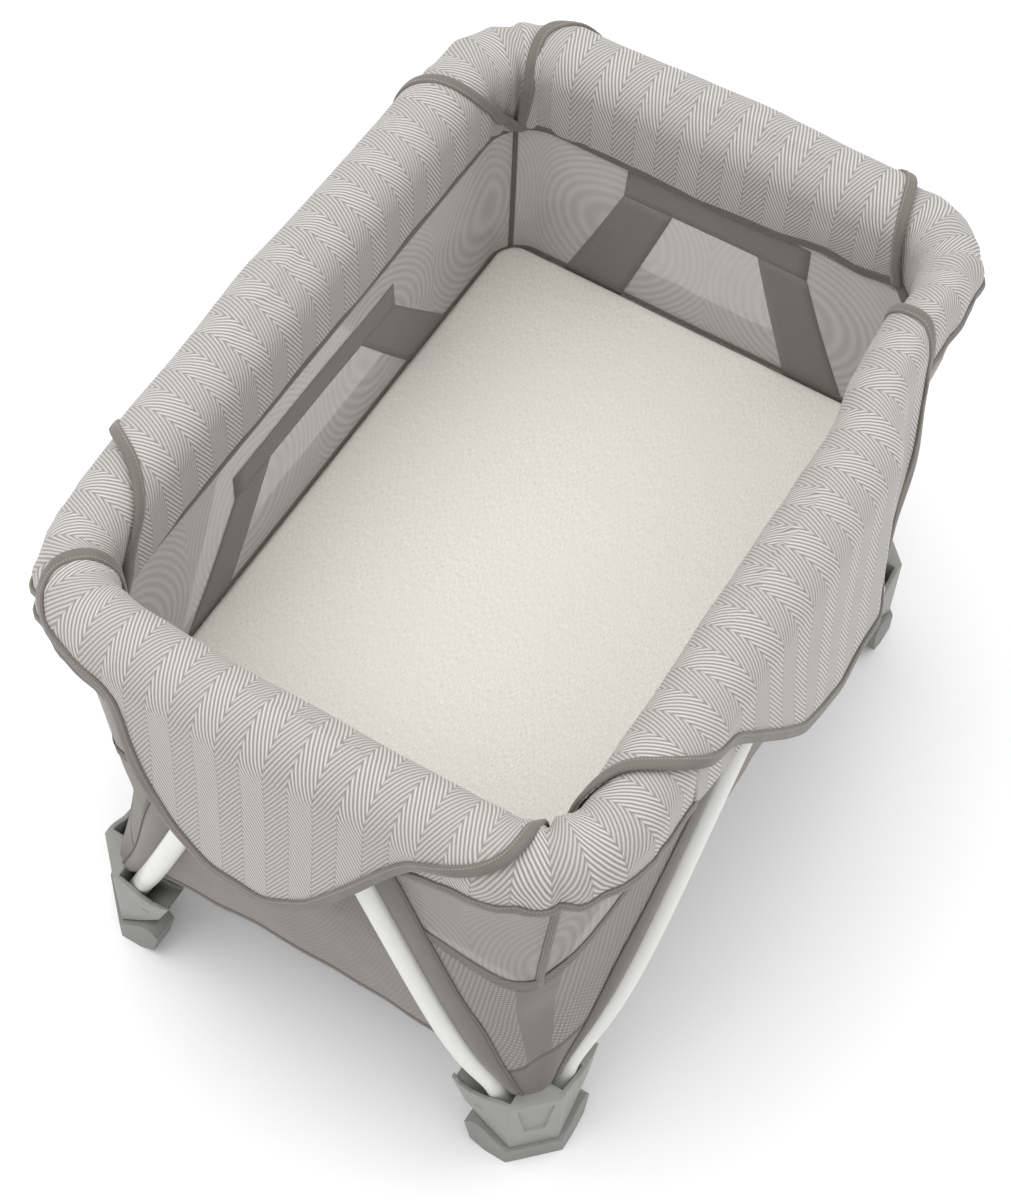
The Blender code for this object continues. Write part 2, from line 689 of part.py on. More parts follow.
def petal(side):
    """Rim cover of one side: over the padding, then hanging as a scalloped flap."""
    place, kind = SIDES[side]
    arc_steps = 6
    flap_top = RIM_Z - 0.004
    rings = []
    for along, low, flare in kind.petal:
        outer, inner = [], []
        for k in range(arc_steps + 1):
            angle = math.radians(150 * (1 - k / arc_steps))
            for points, r in ((outer, PETAL_R + PETAL_T), (inner, PETAL_R)):
                points.append((kind.pad + r * math.cos(angle), RIM_Z + r * math.sin(angle)))
        edge = min(low, RIM_Z - 0.012)
        for share in (0.12, 0.5, 1.0):
            z = flap_top + (edge - flap_top) * share
            # the flap stands clear of the brackets and legs under the rim
            out = kind.pad + PETAL_R + 0.0075 * ease((flap_top - z) / 0.022) + flare * share
            outer.append((out + PETAL_T, z))
            inner.append((out, z))
        rings.append([place(along, out, z) for out, z in outer + inner[::-1]])
    make("petal_" + side, loft(rings), WEAVE, at=place(0, kind.pad, RIM_Z))


def mesh_wall(side):
    place, kind = SIDES[side]
    reach = kind.next_wall - WALL_END
    low = (-reach, kind.wall - WALL_T, WALL_LOW)
    make("mesh_wall_" + side, box(place, low, (reach, kind.wall, WALL_TOP)), MESH)


def cloth_panel(side):
    """Outer cloth panel, between the two legs of a side."""
    place, kind = SIDES[side]
    make("cloth_panel_" + side, prism(
        kind.panel, lambda along, z, out: place(along, out, z),
        kind.wall + 0.0006, kind.wall + 0.0022), TAUPE)


def slab(name, low, high, look):
    """Mattress-sized plate with rounded corners and bevelled edges."""
    corner_steps = 4
    edge = min(0.006, (high - low) / 3)

    def outline(grow, z):
        radius = MATTRESS_CORNER + grow
        points = []
        for dir_x, dir_y, turn in ((1, 1, 0), (-1, 1, 90), (-1, -1, 180), (1, -1, 270)):
            for k in range(corner_steps + 1):
                angle = math.radians(turn + 90 * k / corner_steps)
                points.append(Vector((
                    dir_x * (MATTRESS_X - MATTRESS_CORNER) + radius * math.cos(angle),
                    dir_y * (MATTRESS_Y - MATTRESS_CORNER) + radius * math.sin(angle),
                    z,
                )))
        return points

    rings = [outline(-edge, low), outline(0, low + edge), outline(0, high - edge),
             outline(-edge, high)]
    make(name, loft(rings), look, at=(0, 0, low))


# ---------------------------------------------------------------- build
for old in list(bpy.data.objects):
    bpy.data.objects.remove(old)

for corner in CORNERS:
    foot(corner)
    boot(corner)
for side in SIDES:
    for end in (-1, 1):
        leg(side, end)
        rail(side, end)
    bracket(side)
    button(side)
for corner in CORNERS:
    elbow(corner)
hub()
for corner in CORNERS:
    link(corner)
for side in SIDES:
    rim_pad(side)
    petal(side)
    mesh_wall(side)
    cloth_panel(side)

panel_top = MATTRESS_LOW - MATTRESS_GAP
slab("support_panel", MATTRESS_LOW - FLOOR_T - MATTRESS_GAP, panel_top, TAUPE)
slab("mattress", MATTRESS_LOW, MATTRESS_TOP, SHEET)
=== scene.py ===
"""A folding cot: a padded rim on eight bowed legs, with mesh walls and a mattress.

It stands on z = 0, centred on x and y. The long sides face front (-y) and back (+y), the
short sides left (-x) and right (+x). Corners are named fl, fr, bl and br. Two coordinates
describe the rim: "around" is the distance round its centreline, anticlockwise from above
from the middle of the front; "down" is the distance along its profile, from the inner seam
over the top and down the outside. All lengths are in metres.
"""
import json
import math

import bpy
import numpy as np
from mathutils import Matrix, Vector, noise


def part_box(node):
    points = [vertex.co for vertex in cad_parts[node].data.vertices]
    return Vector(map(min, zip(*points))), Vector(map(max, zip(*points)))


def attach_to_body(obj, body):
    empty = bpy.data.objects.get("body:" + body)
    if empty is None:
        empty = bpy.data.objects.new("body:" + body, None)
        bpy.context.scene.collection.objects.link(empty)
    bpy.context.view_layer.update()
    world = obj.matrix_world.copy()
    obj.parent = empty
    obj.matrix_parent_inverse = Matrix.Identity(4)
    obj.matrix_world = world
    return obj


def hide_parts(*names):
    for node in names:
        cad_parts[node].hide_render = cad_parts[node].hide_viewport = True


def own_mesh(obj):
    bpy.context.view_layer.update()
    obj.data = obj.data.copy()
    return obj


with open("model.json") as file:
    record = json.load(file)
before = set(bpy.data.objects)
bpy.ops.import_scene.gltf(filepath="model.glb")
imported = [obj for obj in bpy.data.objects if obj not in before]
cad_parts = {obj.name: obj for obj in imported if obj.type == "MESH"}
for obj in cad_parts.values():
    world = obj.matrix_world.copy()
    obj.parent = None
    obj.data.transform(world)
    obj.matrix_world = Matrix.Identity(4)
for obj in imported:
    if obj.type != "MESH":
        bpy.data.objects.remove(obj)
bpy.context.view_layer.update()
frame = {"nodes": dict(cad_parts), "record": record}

BODIES = {
    node: body for body, nodes in frame["record"]["behaviour"]["bodies"].items() for node in nodes
}

# ------------------------------------------------------------------ driving sizes
RIM_X, RIM_Y = 0.430, 0.297  # half sizes of the rim centreline
RIM_CORNER = 0.090  # its corner radius
RIM_Z, RIM_R = 0.680, 0.036  # height and radius of the padded rim
SEAM_DOWN = 0.072  # straight inner part of the rim profile
EQUATOR = SEAM_DOWN + math.pi * RIM_R  # "down" where the outside starts to hang straight
WALL_INSET = 0.033  # inner wall, inward from the rim centreline
WALL_X, WALL_Y = RIM_X - WALL_INSET, RIM_Y - WALL_INSET
WALL_TOP, WALL_LOW = 0.612, 0.372
WALL_HEIGHT = WALL_TOP - WALL_LOW
MATTRESS_CORNER = 0.028

STRAIGHT_X = RIM_X - RIM_CORNER  # half lengths of the straight sides
STRAIGHT_Y = RIM_Y - RIM_CORNER
ARC = math.pi / 2 * RIM_CORNER
RIM_LENGTH = 4 * STRAIGHT_X + 4 * STRAIGHT_Y + 4 * ARC

# places round the rim
MIDDLE = {"front": 0.0, "right": RIM_LENGTH / 4, "back": RIM_LENGTH / 2, "left": 3 * RIM_LENGTH / 4}
CORNER_AT = {"fr": STRAIGHT_X + ARC / 2}
CORNER_AT["br"] = RIM_LENGTH / 2 - CORNER_AT["fr"]
CORNER_AT["bl"] = RIM_LENGTH / 2 + CORNER_AT["fr"]
CORNER_AT["fl"] = RIM_LENGTH - CORNER_AT["fr"]
SIGN = {"fl": (-1, -1), "fr": (1, -1), "bl": (-1, 1), "br": (1, 1)}
LONG = ("front", "back")
HALF_SIDE = {side: (STRAIGHT_X if side in LONG else STRAIGHT_Y) + ARC / 2 for side in MIDDLE}
SEED = {"front": 11.0, "left": 23.0, "back": 37.0, "right": 51.0}
UP = (0, 0, 1)


# ------------------------------------------------------------------ material helpers
def srgb(colour, factor=1.0):
    """Linear RGBA from an 8-bit sRGB colour, made lighter or darker by a factor."""

    def linear(channel):
        channel = min(255, channel * factor) / 255.0
        return channel / 12.92 if channel <= 0.04045 else ((channel + 0.055) / 1.055) ** 2.4

    return (*map(linear, colour), 1.0)


class Value:
    """A node output; arithmetic on it adds Math nodes."""

    def __init__(self, look, socket):
        self.look, self.socket = look, socket

    def math(self, operation, second=0.0, third=0.0):
        return self.look.math(operation, self, second, third)

    def __add__(self, other):
        return self.math("ADD", other)

    def __radd__(self, other):
        return self.look.math("ADD", other, self)

    def __sub__(self, other):
        return self.math("SUBTRACT", other)

    def __rsub__(self, other):
        return self.look.math("SUBTRACT", other, self)

    def __mul__(self, other):
        return self.math("MULTIPLY", other)

    def __truediv__(self, other):
        return self.math("DIVIDE", other)

    def __mod__(self, other):
        return self.math("MODULO", other)

    def __pow__(self, other):
        return self.math("POWER", other)

    def __abs__(self):
        return self.math("ABSOLUTE")

    def scale_add(self, factor, addend):
        return self.math("MULTIPLY_ADD", factor, addend)

    def unit(self):
        """From -1..1 to 0..1."""
        return self.scale_add(0.5, 0.5)

    def wave(self, period):
        return (self * (2 * math.pi / period)).math("SINE")

    def ramp(self, start, end):
        """Smooth rise from 0 at start to 1 at end."""
        inputs = {"Value": self, "From Min": start, "From Max": end}
        return self.look.node("ShaderNodeMapRange", inputs, interpolation_type="SMOOTHSTEP")


class Look:
    """A material with one Principled shader."""

    def __init__(self, name):
        self.mat = bpy.data.materials.new(name)
        self.mat.use_nodes = True
        self.tree = self.mat.node_tree
        self.tree.nodes.clear()
        output = self.tree.nodes.new("ShaderNodeOutputMaterial")
        self.shader = self.tree.nodes.new("ShaderNodeBsdfPrincipled")
        self.tree.links.new(self.shader.outputs[0], output.inputs["Surface"])

    def put(self, socket, value):
        if isinstance(value, Value):
            self.tree.links.new(value.socket, socket)
        else:
            socket.default_value = value

    def node(self, kind, inputs=None, output=0, **settings):
        node = self.tree.nodes.new(kind)
        for key, setting in settings.items():
            setattr(node, key, setting)
        for key, value in (inputs or {}).items():
            self.put(node.inputs[key], value)
        return Value(self, node.outputs[output])

    def math(self, operation, first, second=0.0, third=0.0):
        inputs = {0: first, 1: second, 2: third}
        return self.node("ShaderNodeMath", inputs, operation=operation)

    def noise(self, vector, scale, detail=2.0, roughness=0.5):
        inputs = {"Vector": vector, "Scale": scale, "Detail": detail, "Roughness": roughness}
        return self.node("ShaderNodeTexNoise", inputs)

    def stretch(self, vector, scale):
        return self.node("ShaderNodeMapping", {"Vector": vector, "Scale": scale})

    def mix(self, base, over, mask, amount=None):
        """Lays a colour over the base where the mask is 1, up to the amount."""
        if amount is not None:
            mask = mask * amount
        inputs = {0: mask, 6: base, 7: over}
        return self.node("ShaderNodeMix", inputs, 2, data_type="RGBA", clamp_factor=True)

    def bump(self, height, distance, strength, normal=None):
        inputs = {"Height": height, "Distance": distance, "Strength": strength}
        if normal is not None:
            inputs["Normal"] = normal
        return self.node("ShaderNodeBump", inputs)

    def finish(self, **inputs):
        """Sets shader inputs (underscores stand for spaces) and returns the material."""
        for key, value in inputs.items():
            self.put(self.shader.inputs[key.replace("_", " ")], value)
        return self.mat

    def uv(self):
        vector = self.node("ShaderNodeUVMap", uv_map="UVMap")
        u = self.node("ShaderNodeSeparateXYZ", {0: vector})
        return vector, u, Value(self, u.socket.node.outputs[1])

    def object_coordinates(self):
        return self.node("ShaderNodeTexCoord", output=3)


# ------------------------------------------------------------------ materials
def herringbone():
    """Broad columns of slanted ribs that turn at each column edge."""
    look = Look("herringbone_weave")
    vector, u, v = look.uv()
    column, rib_pitch, slope = 0.0265, 0.0086, 2.1
    across = look.noise(vector, scale=60.0).scale_add(0.0012, u)
    zigzag = across.math("PINGPONG", column)
    drift = look.noise(vector, scale=14.0, detail=1.0).scale_add(0.006, v)
    rib = (zigzag.scale_add(slope, drift) / rib_pitch).wave(1.0).unit().ramp(start=0.10, end=0.86)
    # 43 columns are added so that the count stays positive
    odd = ((across + 43 * column) / column).math("FLOOR") % 2.0
    tone = look.noise(vector, scale=9.0, detail=3.0)
    yarn = look.noise(look.stretch(vector, (1.0, 2.0, 1.0)), scale=620.0)
    # dark line where the ribs turn
    turn = abs((across / column + 0.5).math("FRACT") - 0.5).ramp(start=0.032, end=0.008)
    light = look.mix(srgb((190, 187, 184)), srgb((178, 175, 171)), mask=odd)
    dark = look.mix(srgb((128, 124, 120)), srgb((132, 128, 124)), mask=odd)
    c = look.mix(dark, light, mask=rib)
    c = look.mix(c, srgb((116, 112, 108)), mask=turn, amount=0.45)
    c = look.mix(c, srgb((158, 154, 150)), mask=tone.ramp(start=0.35, end=0.75), amount=0.14)
    c = look.mix(c, srgb((214, 211, 208)), mask=yarn.ramp(start=0.42, end=0.62), amount=0.10)
    normal = look.bump(rib * 0.8 + yarn * 0.35, distance=0.0006, strength=0.55)
    return look.finish(
        Base_Color=c, Roughness=0.86, Sheen_Weight=0.18, Sheen_Roughness=0.5, Normal=normal
    )


def tape(name, colour, rib, stitch):
    """Woven tape, with or without a row of stitches near its inner edge."""
    look = Look(name)
    vector, u, v = look.uv()
    ribs = (u + v * 0.6).wave(rib).unit()
    grain = look.noise(vector, scale=700.0)
    soft = look.noise(vector, scale=30.0)
    light = srgb(colour, 1.16)
    c = look.mix(srgb(colour), srgb(colour, 0.80), mask=ribs, amount=0.45)
    c = look.mix(c, light, mask=grain.ramp(start=0.45, end=0.65), amount=0.35)
    c = look.mix(c, light, mask=soft.ramp(start=0.35, end=0.7), amount=0.25)
    height = ribs * 0.5 + grain * 0.5
    if stitch:
        stitch_pitch, row_at = 0.0036, 0.0078
        dash = (u / stitch_pitch).math("FRACT").ramp(start=0.28, end=0.42)
        stitches = dash * abs(v - row_at).ramp(start=0.0007, end=0.0003)
        c = look.mix(c, srgb(colour, 1.42), mask=stitches, amount=0.8)
        height = height + stitches * 1.2
    normal = look.bump(height, distance=0.0004, strength=0.6)
    return look.finish(Base_Color=c, Roughness=0.8, Sheen_Weight=0.2, Normal=normal)


def plain_cloth(name, colour, thread, contrast):
    """Plain woven cloth with fine crossing yarns and soft shading marks."""
    look = Look(name)
    vector, u, v = look.uv()
    weave = (u.wave(thread) * v.wave(thread)).unit()
    grain = look.noise(vector, scale=500.0)
    soft = look.noise(vector, scale=14.0, detail=3.0)
    dark, light = srgb(colour, 1 - contrast), srgb(colour, 1 + contrast)
    c = look.mix(dark, light, mask=weave)
    c = look.mix(c, srgb(colour), mask=0.45)
    c = look.mix(c, dark, mask=grain.ramp(start=0.4, end=0.65), amount=0.3)
    c = look.mix(c, light, mask=soft.ramp(start=0.35, end=0.7), amount=0.3)
    normal = look.bump(weave * 0.6 + grain * 0.4, distance=0.0003, strength=0.5)
    return look.finish(Base_Color=c, Roughness=0.88, Sheen_Weight=0.25, Normal=normal)


def fine_mesh(name, colour, solid):
    """Fine netting: crossing rows of holes, and slow rings as of layers beating together."""
    look = Look(name)
    vector, u, v = look.uv()
    pitch, ring_spacing, ring_height = 0.0024, 0.23, 0.12
    hole = ((u + v * 0.5).wave(pitch) * (v - u * 0.5).wave(pitch)).unit()
    warp = look.noise(vector, scale=5.0, detail=1.0)
    across = abs((u / ring_spacing).math("FRACT") - 0.5) ** 2.0
    distance = across + (v - ring_height) ** 2.0 * 16.0
    rings = ((distance + warp * 0.12) * 210.0).math("SINE").unit()
    return look.finish(
        Base_Color=look.mix(srgb(colour), srgb(colour, 1.17), mask=rings, amount=0.30),
        Roughness=0.8,
        Normal=look.bump(hole, distance=0.0003, strength=0.4),
        Alpha=solid + rings * 0.06 - hole * 0.16,
    )


def strong_mesh(name, colour, hole_colour, pitch, hole_size):
    """Sturdy netting: rows of round openings, each row set half a step over."""
    look = Look(name)
    vector, u, v = look.uv()
    row_pitch = pitch * 0.86
    row = (v / row_pitch).math("FLOOR")
    # 400 rows are added so that the count stays positive
    from_middle_u = (u / pitch + (row + 400.0) % 2.0 * 0.5).math("FRACT") - 0.5
    from_middle_v = (v / row_pitch).math("FRACT") - 0.5
    squares = from_middle_u * from_middle_u + from_middle_v * from_middle_v
    hole = squares.math("SQRT").ramp(start=hole_size, end=hole_size - 0.14)
    grain = look.noise(vector, scale=600.0)
    soft = look.noise(vector, scale=12.0)
    c = look.mix(srgb(colour), srgb(hole_colour), mask=hole, amount=0.85)
    c = look.mix(c, srgb(colour, 0.82), mask=grain.ramp(start=0.42, end=0.62), amount=0.25)
    c = look.mix(c, srgb(colour, 1.15), mask=soft.ramp(start=0.35, end=0.7), amount=0.2)
    normal = look.bump(1.0 - hole, distance=0.0005, strength=0.6)
    return look.finish(Base_Color=c, Roughness=0.8, Normal=normal, Alpha=1.0 - hole * 0.12)


def ribbed_mesh(name, colour):
    """Closely ribbed patch cloth."""
    look = Look(name)
    vector, u, v = look.uv()
    ribs = (v + look.noise(vector, scale=30.0) * 0.001).wave(0.0030).unit()
    yarns = u.wave(0.0017).unit()
    grain = look.noise(vector, scale=450.0)
    c = look.mix(srgb(colour, 0.84), srgb(colour, 1.12), mask=ribs, amount=0.8)
    c = look.mix(c, srgb(colour, 0.86), mask=grain.ramp(start=0.42, end=0.62), amount=0.25)
    normal = look.bump(ribs + yarns * 0.4, distance=0.0004, strength=0.5)
    return look.finish(Base_Color=c, Roughness=0.85, Sheen_Weight=0.15, Normal=normal)


def heather():
    """Soft knitted sheet: off-white with short beige flecks."""
    look = Look("heather_sheet")
    vector, u, _ = look.uv()
    stretched = look.stretch(vector, (1.0, 5.0, 1.0))
    fleck = look.noise(stretched, scale=190.0, detail=4.0, roughness=0.65)
    grain = look.noise(vector, scale=620.0)
    soft = look.noise(vector, scale=5.0, detail=3.0)
    c = look.mix(
        srgb((203, 197, 189)), srgb((228, 224, 217)), mask=fleck.ramp(start=0.38, end=0.62)
    )
    c = look.mix(c, srgb((233, 229, 223)), mask=grain.ramp(start=0.40, end=0.62), amount=0.30)
    c = look.mix(c, srgb((217, 211, 203)), mask=soft.ramp(start=0.35, end=0.7), amount=0.25)
    knit = u.wave(0.0014).unit()
    height = grain * 0.5 + (fleck * 0.4 + knit * 0.2)
    normal = look.bump(height, distance=0.0004, strength=0.45)
    return look.finish(
        Base_Color=c, Roughness=0.92, Sheen_Weight=0.3, Sheen_Roughness=0.6, Normal=normal
    )


def painted_tube():
    """Satin white powder coat with faint orange peel and slight scuffs."""
    look = Look("satin_tube")
    place_on = look.object_coordinates()
    peel = look.noise(place_on, scale=900.0)
    stretched = look.stretch(place_on, (1.0, 1.0, 6.0))
    scuff = look.noise(stretched, scale=60.0, detail=4.0, roughness=0.6)
    clean, worn = srgb((216, 216, 213)), srgb((190, 189, 186))
    return look.finish(
        Base_Color=look.mix(clean, worn, mask=scuff.ramp(start=0.58, end=0.78), amount=0.35),
        Roughness=0.30 + scuff.ramp(start=0.45, end=0.75) * 0.22,
        Coat_Weight=0.25,
        Coat_Roughness=0.22,
        Normal=look.bump(peel, distance=0.0002, strength=0.12),
    )


def moulded(name, colour, roughness, wear, grain_scale=520.0, grain_depth=0.35):
    """Moulded plastic or rubber: fine grain, and softened, slightly polished edges."""
    look = Look(name)
    place_on = look.object_coordinates()
    soft_normal = look.node("ShaderNodeBevel", {"Radius": 0.0014}, samples=4)
    normal = look.node("ShaderNodeNewGeometry", output=1)
    inputs = {0: soft_normal, 1: normal}
    facing = look.node("ShaderNodeVectorMath", inputs, 1, operation="DOT_PRODUCT")
    edge = facing.ramp(start=0.995, end=0.90)
    grain = look.noise(place_on, scale=grain_scale, detail=3.0, roughness=0.6)
    broad = look.noise(place_on, scale=22.0, detail=3.0)
    grain_mask = grain.ramp(start=0.40, end=0.65)
    c = look.mix(srgb(colour), srgb(colour, 0.9), mask=grain_mask, amount=0.25)
    c = look.mix(c, srgb(colour, 1.10), mask=broad.ramp(start=0.4, end=0.7), amount=0.25)
    c = look.mix(c, srgb(colour, 1.32), mask=edge, amount=wear)
    return look.finish(
        Base_Color=c,
        Roughness=roughness + grain * 0.12 - edge * 0.1,
        Normal=look.bump(grain, distance=0.0003, strength=grain_depth, normal=soft_normal),
    )


HERRINGBONE = herringbone()
BINDING = tape("edge_binding", (108, 102, 96), rib=0.0016, stitch=True)
PIPING = tape("seam_piping", (92, 86, 81), rib=0.0012, stitch=False)
WALL_MESH = fine_mesh("fine_wall_mesh", (196, 191, 188), solid=0.78)
WINDOW = fine_mesh("window_mesh", (170, 164, 160), solid=0.62)
HEM_MESH = fine_mesh("hem_mesh", (120, 114, 109), solid=0.86)
PATCH = ribbed_mesh("ribbed_patch", (124, 118, 114))
GUSSET_MESH = strong_mesh(
    "gusset_mesh", (124, 119, 114), (182, 178, 174), pitch=0.0064, hole_size=0.34
)
PANEL_MESH = strong_mesh(
    "panel_mesh", (132, 126, 121), (166, 161, 156), pitch=0.0066, hole_size=0.30
)
STRIP = ribbed_mesh("centre_strip", (112, 107, 102))
SLEEVE = plain_cloth("taupe_sleeve", (100, 93, 89), thread=0.0012, contrast=0.12)
BOARD = plain_cloth("board_cloth", (120, 113, 108), thread=0.0016, contrast=0.16)
SHEET = heather()
TUBE = painted_tube()
GREY_PLASTIC = moulded("grey_plastic", (142, 142, 139), roughness=0.42, wear=0.5)
RUBBER = moulded(
    "foot_rubber", (132, 132, 130), roughness=0.62, wear=0.35, grain_scale=380.0, grain_depth=0.5
)
DARK_PLASTIC = moulded("dark_plastic", (92, 90, 88), roughness=0.48, wear=0.35)
# spare: belongs to the set of cloths, but no piece wears it
plain_cloth("thread", (236, 234, 230), thread=0.0006, contrast=0.1)


# ------------------------------------------------------------------ mesh helpers
def link_mesh(name, verts, faces, mats, uvs, smooth=True, face_mats=None):
    """An object from points, faces and one UV per point."""
    mesh = bpy.data.meshes.new(name)
    mesh.from_pydata([tuple(map(float, vert)) for vert in verts], [], faces)
    for mat in mats if isinstance(mats, list) else [mats]:
        mesh.materials.append(mat)
    layer = mesh.uv_layers.new(name="UVMap")
    corners = np.empty(len(mesh.loops), np.int32)
    mesh.loops.foreach_get("vertex_index", corners)
    layer.data.foreach_set("uv", np.asarray(uvs, np.float32)[corners].ravel())
    mesh.polygons.foreach_set("use_smooth", [smooth] * len(mesh.polygons))
    if face_mats is not None:
        mesh.polygons.foreach_set("material_index", face_mats)
    mesh.update()
    part = bpy.data.objects.new(name, mesh)
    bpy.context.scene.collection.objects.link(part)
    return part


def cloth(name, grid, uv, mats, thick, offset=0.0, column_mat=None):
    """A cloth sheet from columns of points, given real thickness."""
    grid = np.asarray(grid, float)
    columns, rows = grid.shape[:2]
    faces, face_mats = [], []
    for i in range(columns - 1):
        for j in range(rows - 1):
            a = i * rows + j
            faces.append((a, a + rows, a + rows + 1, a + 1))
            if column_mat:
                face_mats.append(column_mat(i))
    uv = np.asarray(uv, float).reshape(-1, 2)
    part = link_mesh(name, grid.reshape(-1, 3), faces, mats, uv, face_mats=face_mats or None)
    solid = part.modifiers.new("cloth_thickness", "SOLIDIFY")
    solid.thickness = thick
    solid.offset = offset
    solid.use_even_offset = False
    return part


def frames(points, ups=None):
    """Side and up vectors along a line; ups is one vector, one per point, or None."""
    tangents = np.zeros_like(points)
    tangents[1:-1] = points[2:] - points[:-2]
    tangents[0], tangents[-1] = points[1] - points[0], points[-1] - points[-2]
    tangents /= np.linalg.norm(tangents, axis=1)[:, None] + 1e-12
    if ups is None:
        # carry the first up vector along the line without twist
        up = np.zeros_like(points)
        first = np.array([0, 0, 1.0] if abs(tangents[0, 2]) < 0.9 else [1.0, 0, 0])
        up[0] = first - tangents[0] * (first @ tangents[0])
        up[0] /= np.linalg.norm(up[0])
        for i in range(1, len(points)):
            turned = up[i - 1] - tangents[i] * (up[i - 1] @ tangents[i])
            up[i] = turned / (np.linalg.norm(turned) + 1e-12)
    else:
        up = np.broadcast_to(np.asarray(ups, float), points.shape)
        up = up - tangents * (up * tangents).sum(1)[:, None]
        up /= np.linalg.norm(up, axis=1)[:, None] + 1e-12
    return np.cross(tangents, up), up


def sweep(name, points, section, mat, ups=None, closed=False, mirrored=False):
    """A solid swept along points; section holds (side, up) offsets."""
    points = np.asarray(points, float)
    sides, ups = frames(points, ups)
    section = np.asarray(section, float)
    hand = 1.0
    if mirrored:
        section = section[::-1] * (-1.0, 1.0)
        hand = -1.0
    lengths = np.linalg.norm(np.diff(points, axis=0), axis=1)
    run = np.concatenate([[0], np.cumsum(lengths)])
    verts, uvs = [], []
    for i, point in enumerate(points):
        for across, over in section:
            verts.append(point + sides[i] * across + ups[i] * over)
            uvs.append((run[i], across * hand))
    count, size = len(points), len(section)
    faces = []
    for i in range(count if closed else count - 1):
        after = (i + 1) % count * size
        for j in range(size):
            k = (j + 1) % size
            faces.append((i * size + j, i * size + k, after + k, after + j))
    if not closed:
        faces.append(tuple(range(size - 1, -1, -1)))
        faces.append(tuple((count - 1) * size + j for j in range(size)))
    return link_mesh(name, verts, faces, mat, uvs)


def oval(radius, count, wide=1.0, tall=1.0):
    """Round section, stretched by wide and tall."""
    angles = [2 * math.pi * k / count for k in range(count)]
    return [(radius * math.cos(a) * wide, radius * math.sin(a) * tall) for a in angles]


def strap(low, high, half_thick):
    """Folded tape section from low to high across, with a rounded fold at high."""
    width = high - low
    top = [
        (low, half_thick),
        (low + 0.3 * width, half_thick * 1.15),
        (low + 0.7 * width, half_thick * 1.05),
        (high, half_thick * 0.55),
    ]
    under = [(across, -over) for across, over in reversed(top)]
    return top + [(high + 0.0004, 0)] + under + [(low - 0.0012, 0)]


def attach(part, body, fold=None, replaces=None):
    """Parents a part to the empty of the body that moves it, gives it its own mesh when a fold is
    given, and hides the frame part it stands for.
    """
    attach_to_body(part, body)
    if fold:
        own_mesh(part)
    if replaces:
        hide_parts(replaces)


def side_fold(side, anchor):
    """Axis, anchor and the share of its length a side keeps when folded."""
    if side in LONG:
        return (1, 0, 0), anchor, 0.29
    return (0, 1, 0), anchor, 0.41


def smoothstep(t):
    t = min(max(t, 0.0), 1.0)
    return t * t * (3 - 2 * t)


def steps(start, end, count):
    """Even values from start to end, count steps apart."""
    return [start + (end - start) * k / count for k in range(count + 1)]


def interp(x, table):
    """Smooth curve through a table of (x, y) that doesn't overshoot its points."""
    xs, ys = np.array(table, float).T
    x = np.clip(x, xs[0], xs[-1])
    last = len(xs) - 1
    i = int(np.clip(np.searchsorted(xs, x) - 1, 0, last - 1))
    width = xs[i + 1] - xs[i]
    t = (x - xs[i]) / width
    slopes = np.diff(ys) / np.diff(xs)

    def slope(k):
        if k == 0:
            return slopes[0]
        if k == last:
            return slopes[-1]
        before, after = slopes[k - 1], slopes[k]
        return 0.0 if before * after <= 0 else 2 * before * after / (before + after)

    return (
        (2 * t**3 - 3 * t**2 + 1) * ys[i]
        + (t**3 - 2 * t**2 + t) * slope(i) * width
        + (-2 * t**3 + 3 * t**2) * ys[i + 1]
        + (t**3 - t**2) * slope(i + 1) * width
    )


def ripple(x, y, z):
    return noise.noise(Vector((x, y, z)))


# ------------------------------------------------------------------ the rim as a surface
# straight parts: start, direction, length; arcs: centre, start angle, length
RIM_PARTS = (
    ((0, -RIM_Y), (1, 0), STRAIGHT_X),
    ((STRAIGHT_X, -STRAIGHT_Y), -90, ARC),
    ((RIM_X, -STRAIGHT_Y), (0, 1), 2 * STRAIGHT_Y),
    ((STRAIGHT_X, STRAIGHT_Y), 0, ARC),
    ((STRAIGHT_X, RIM_Y), (-1, 0), 2 * STRAIGHT_X),
    ((-STRAIGHT_X, STRAIGHT_Y), 90, ARC),
    ((-RIM_X, STRAIGHT_Y), (0, -1), 2 * STRAIGHT_Y),
    ((-STRAIGHT_X, -STRAIGHT_Y), 180, ARC),
    ((-STRAIGHT_X, -RIM_Y), (1, 0), STRAIGHT_X),
)
PULL_IN = {"bl": 0.011, "br": 0.002}  # corners where the cover sits further in
# towards the right of the front the rim is drawn in and is narrower outside
# (around, shift inward)
SHIFT = [
    (0.05, 0.0), (0.132, 0.0), (0.2, 0.008), (0.3, 0.015),
    (0.37, 0.014), (0.42, 0.006), (0.47, 0.0), (0.55, 0.0),
]
# (around, share of the outward width kept)
SQUEEZE = [
    (0.02, 1.0), (0.132, 1.0), (0.155, 0.86), (0.19, 0.56), (0.22, 0.44),
    (0.30, 0.42), (0.36, 0.56), (0.41, 0.86), (0.46, 1.0), (0.53, 1.0),
]


def path(around):
    """Point and outward normal on the rim centreline."""
    around = around % RIM_LENGTH
    for start, heading, length in RIM_PARTS:
        if around <= length + 1e-12:
            if isinstance(heading, tuple):
                point = np.array([start[i] + heading[i] * around for i in (0, 1)])
                return point, np.array([heading[1], -heading[0]], float)
            angle = math.radians(heading) + around / RIM_CORNER
            normal = np.array([math.cos(angle), math.sin(angle)])
            return np.array(start) + RIM_CORNER * normal, normal
        around -= length


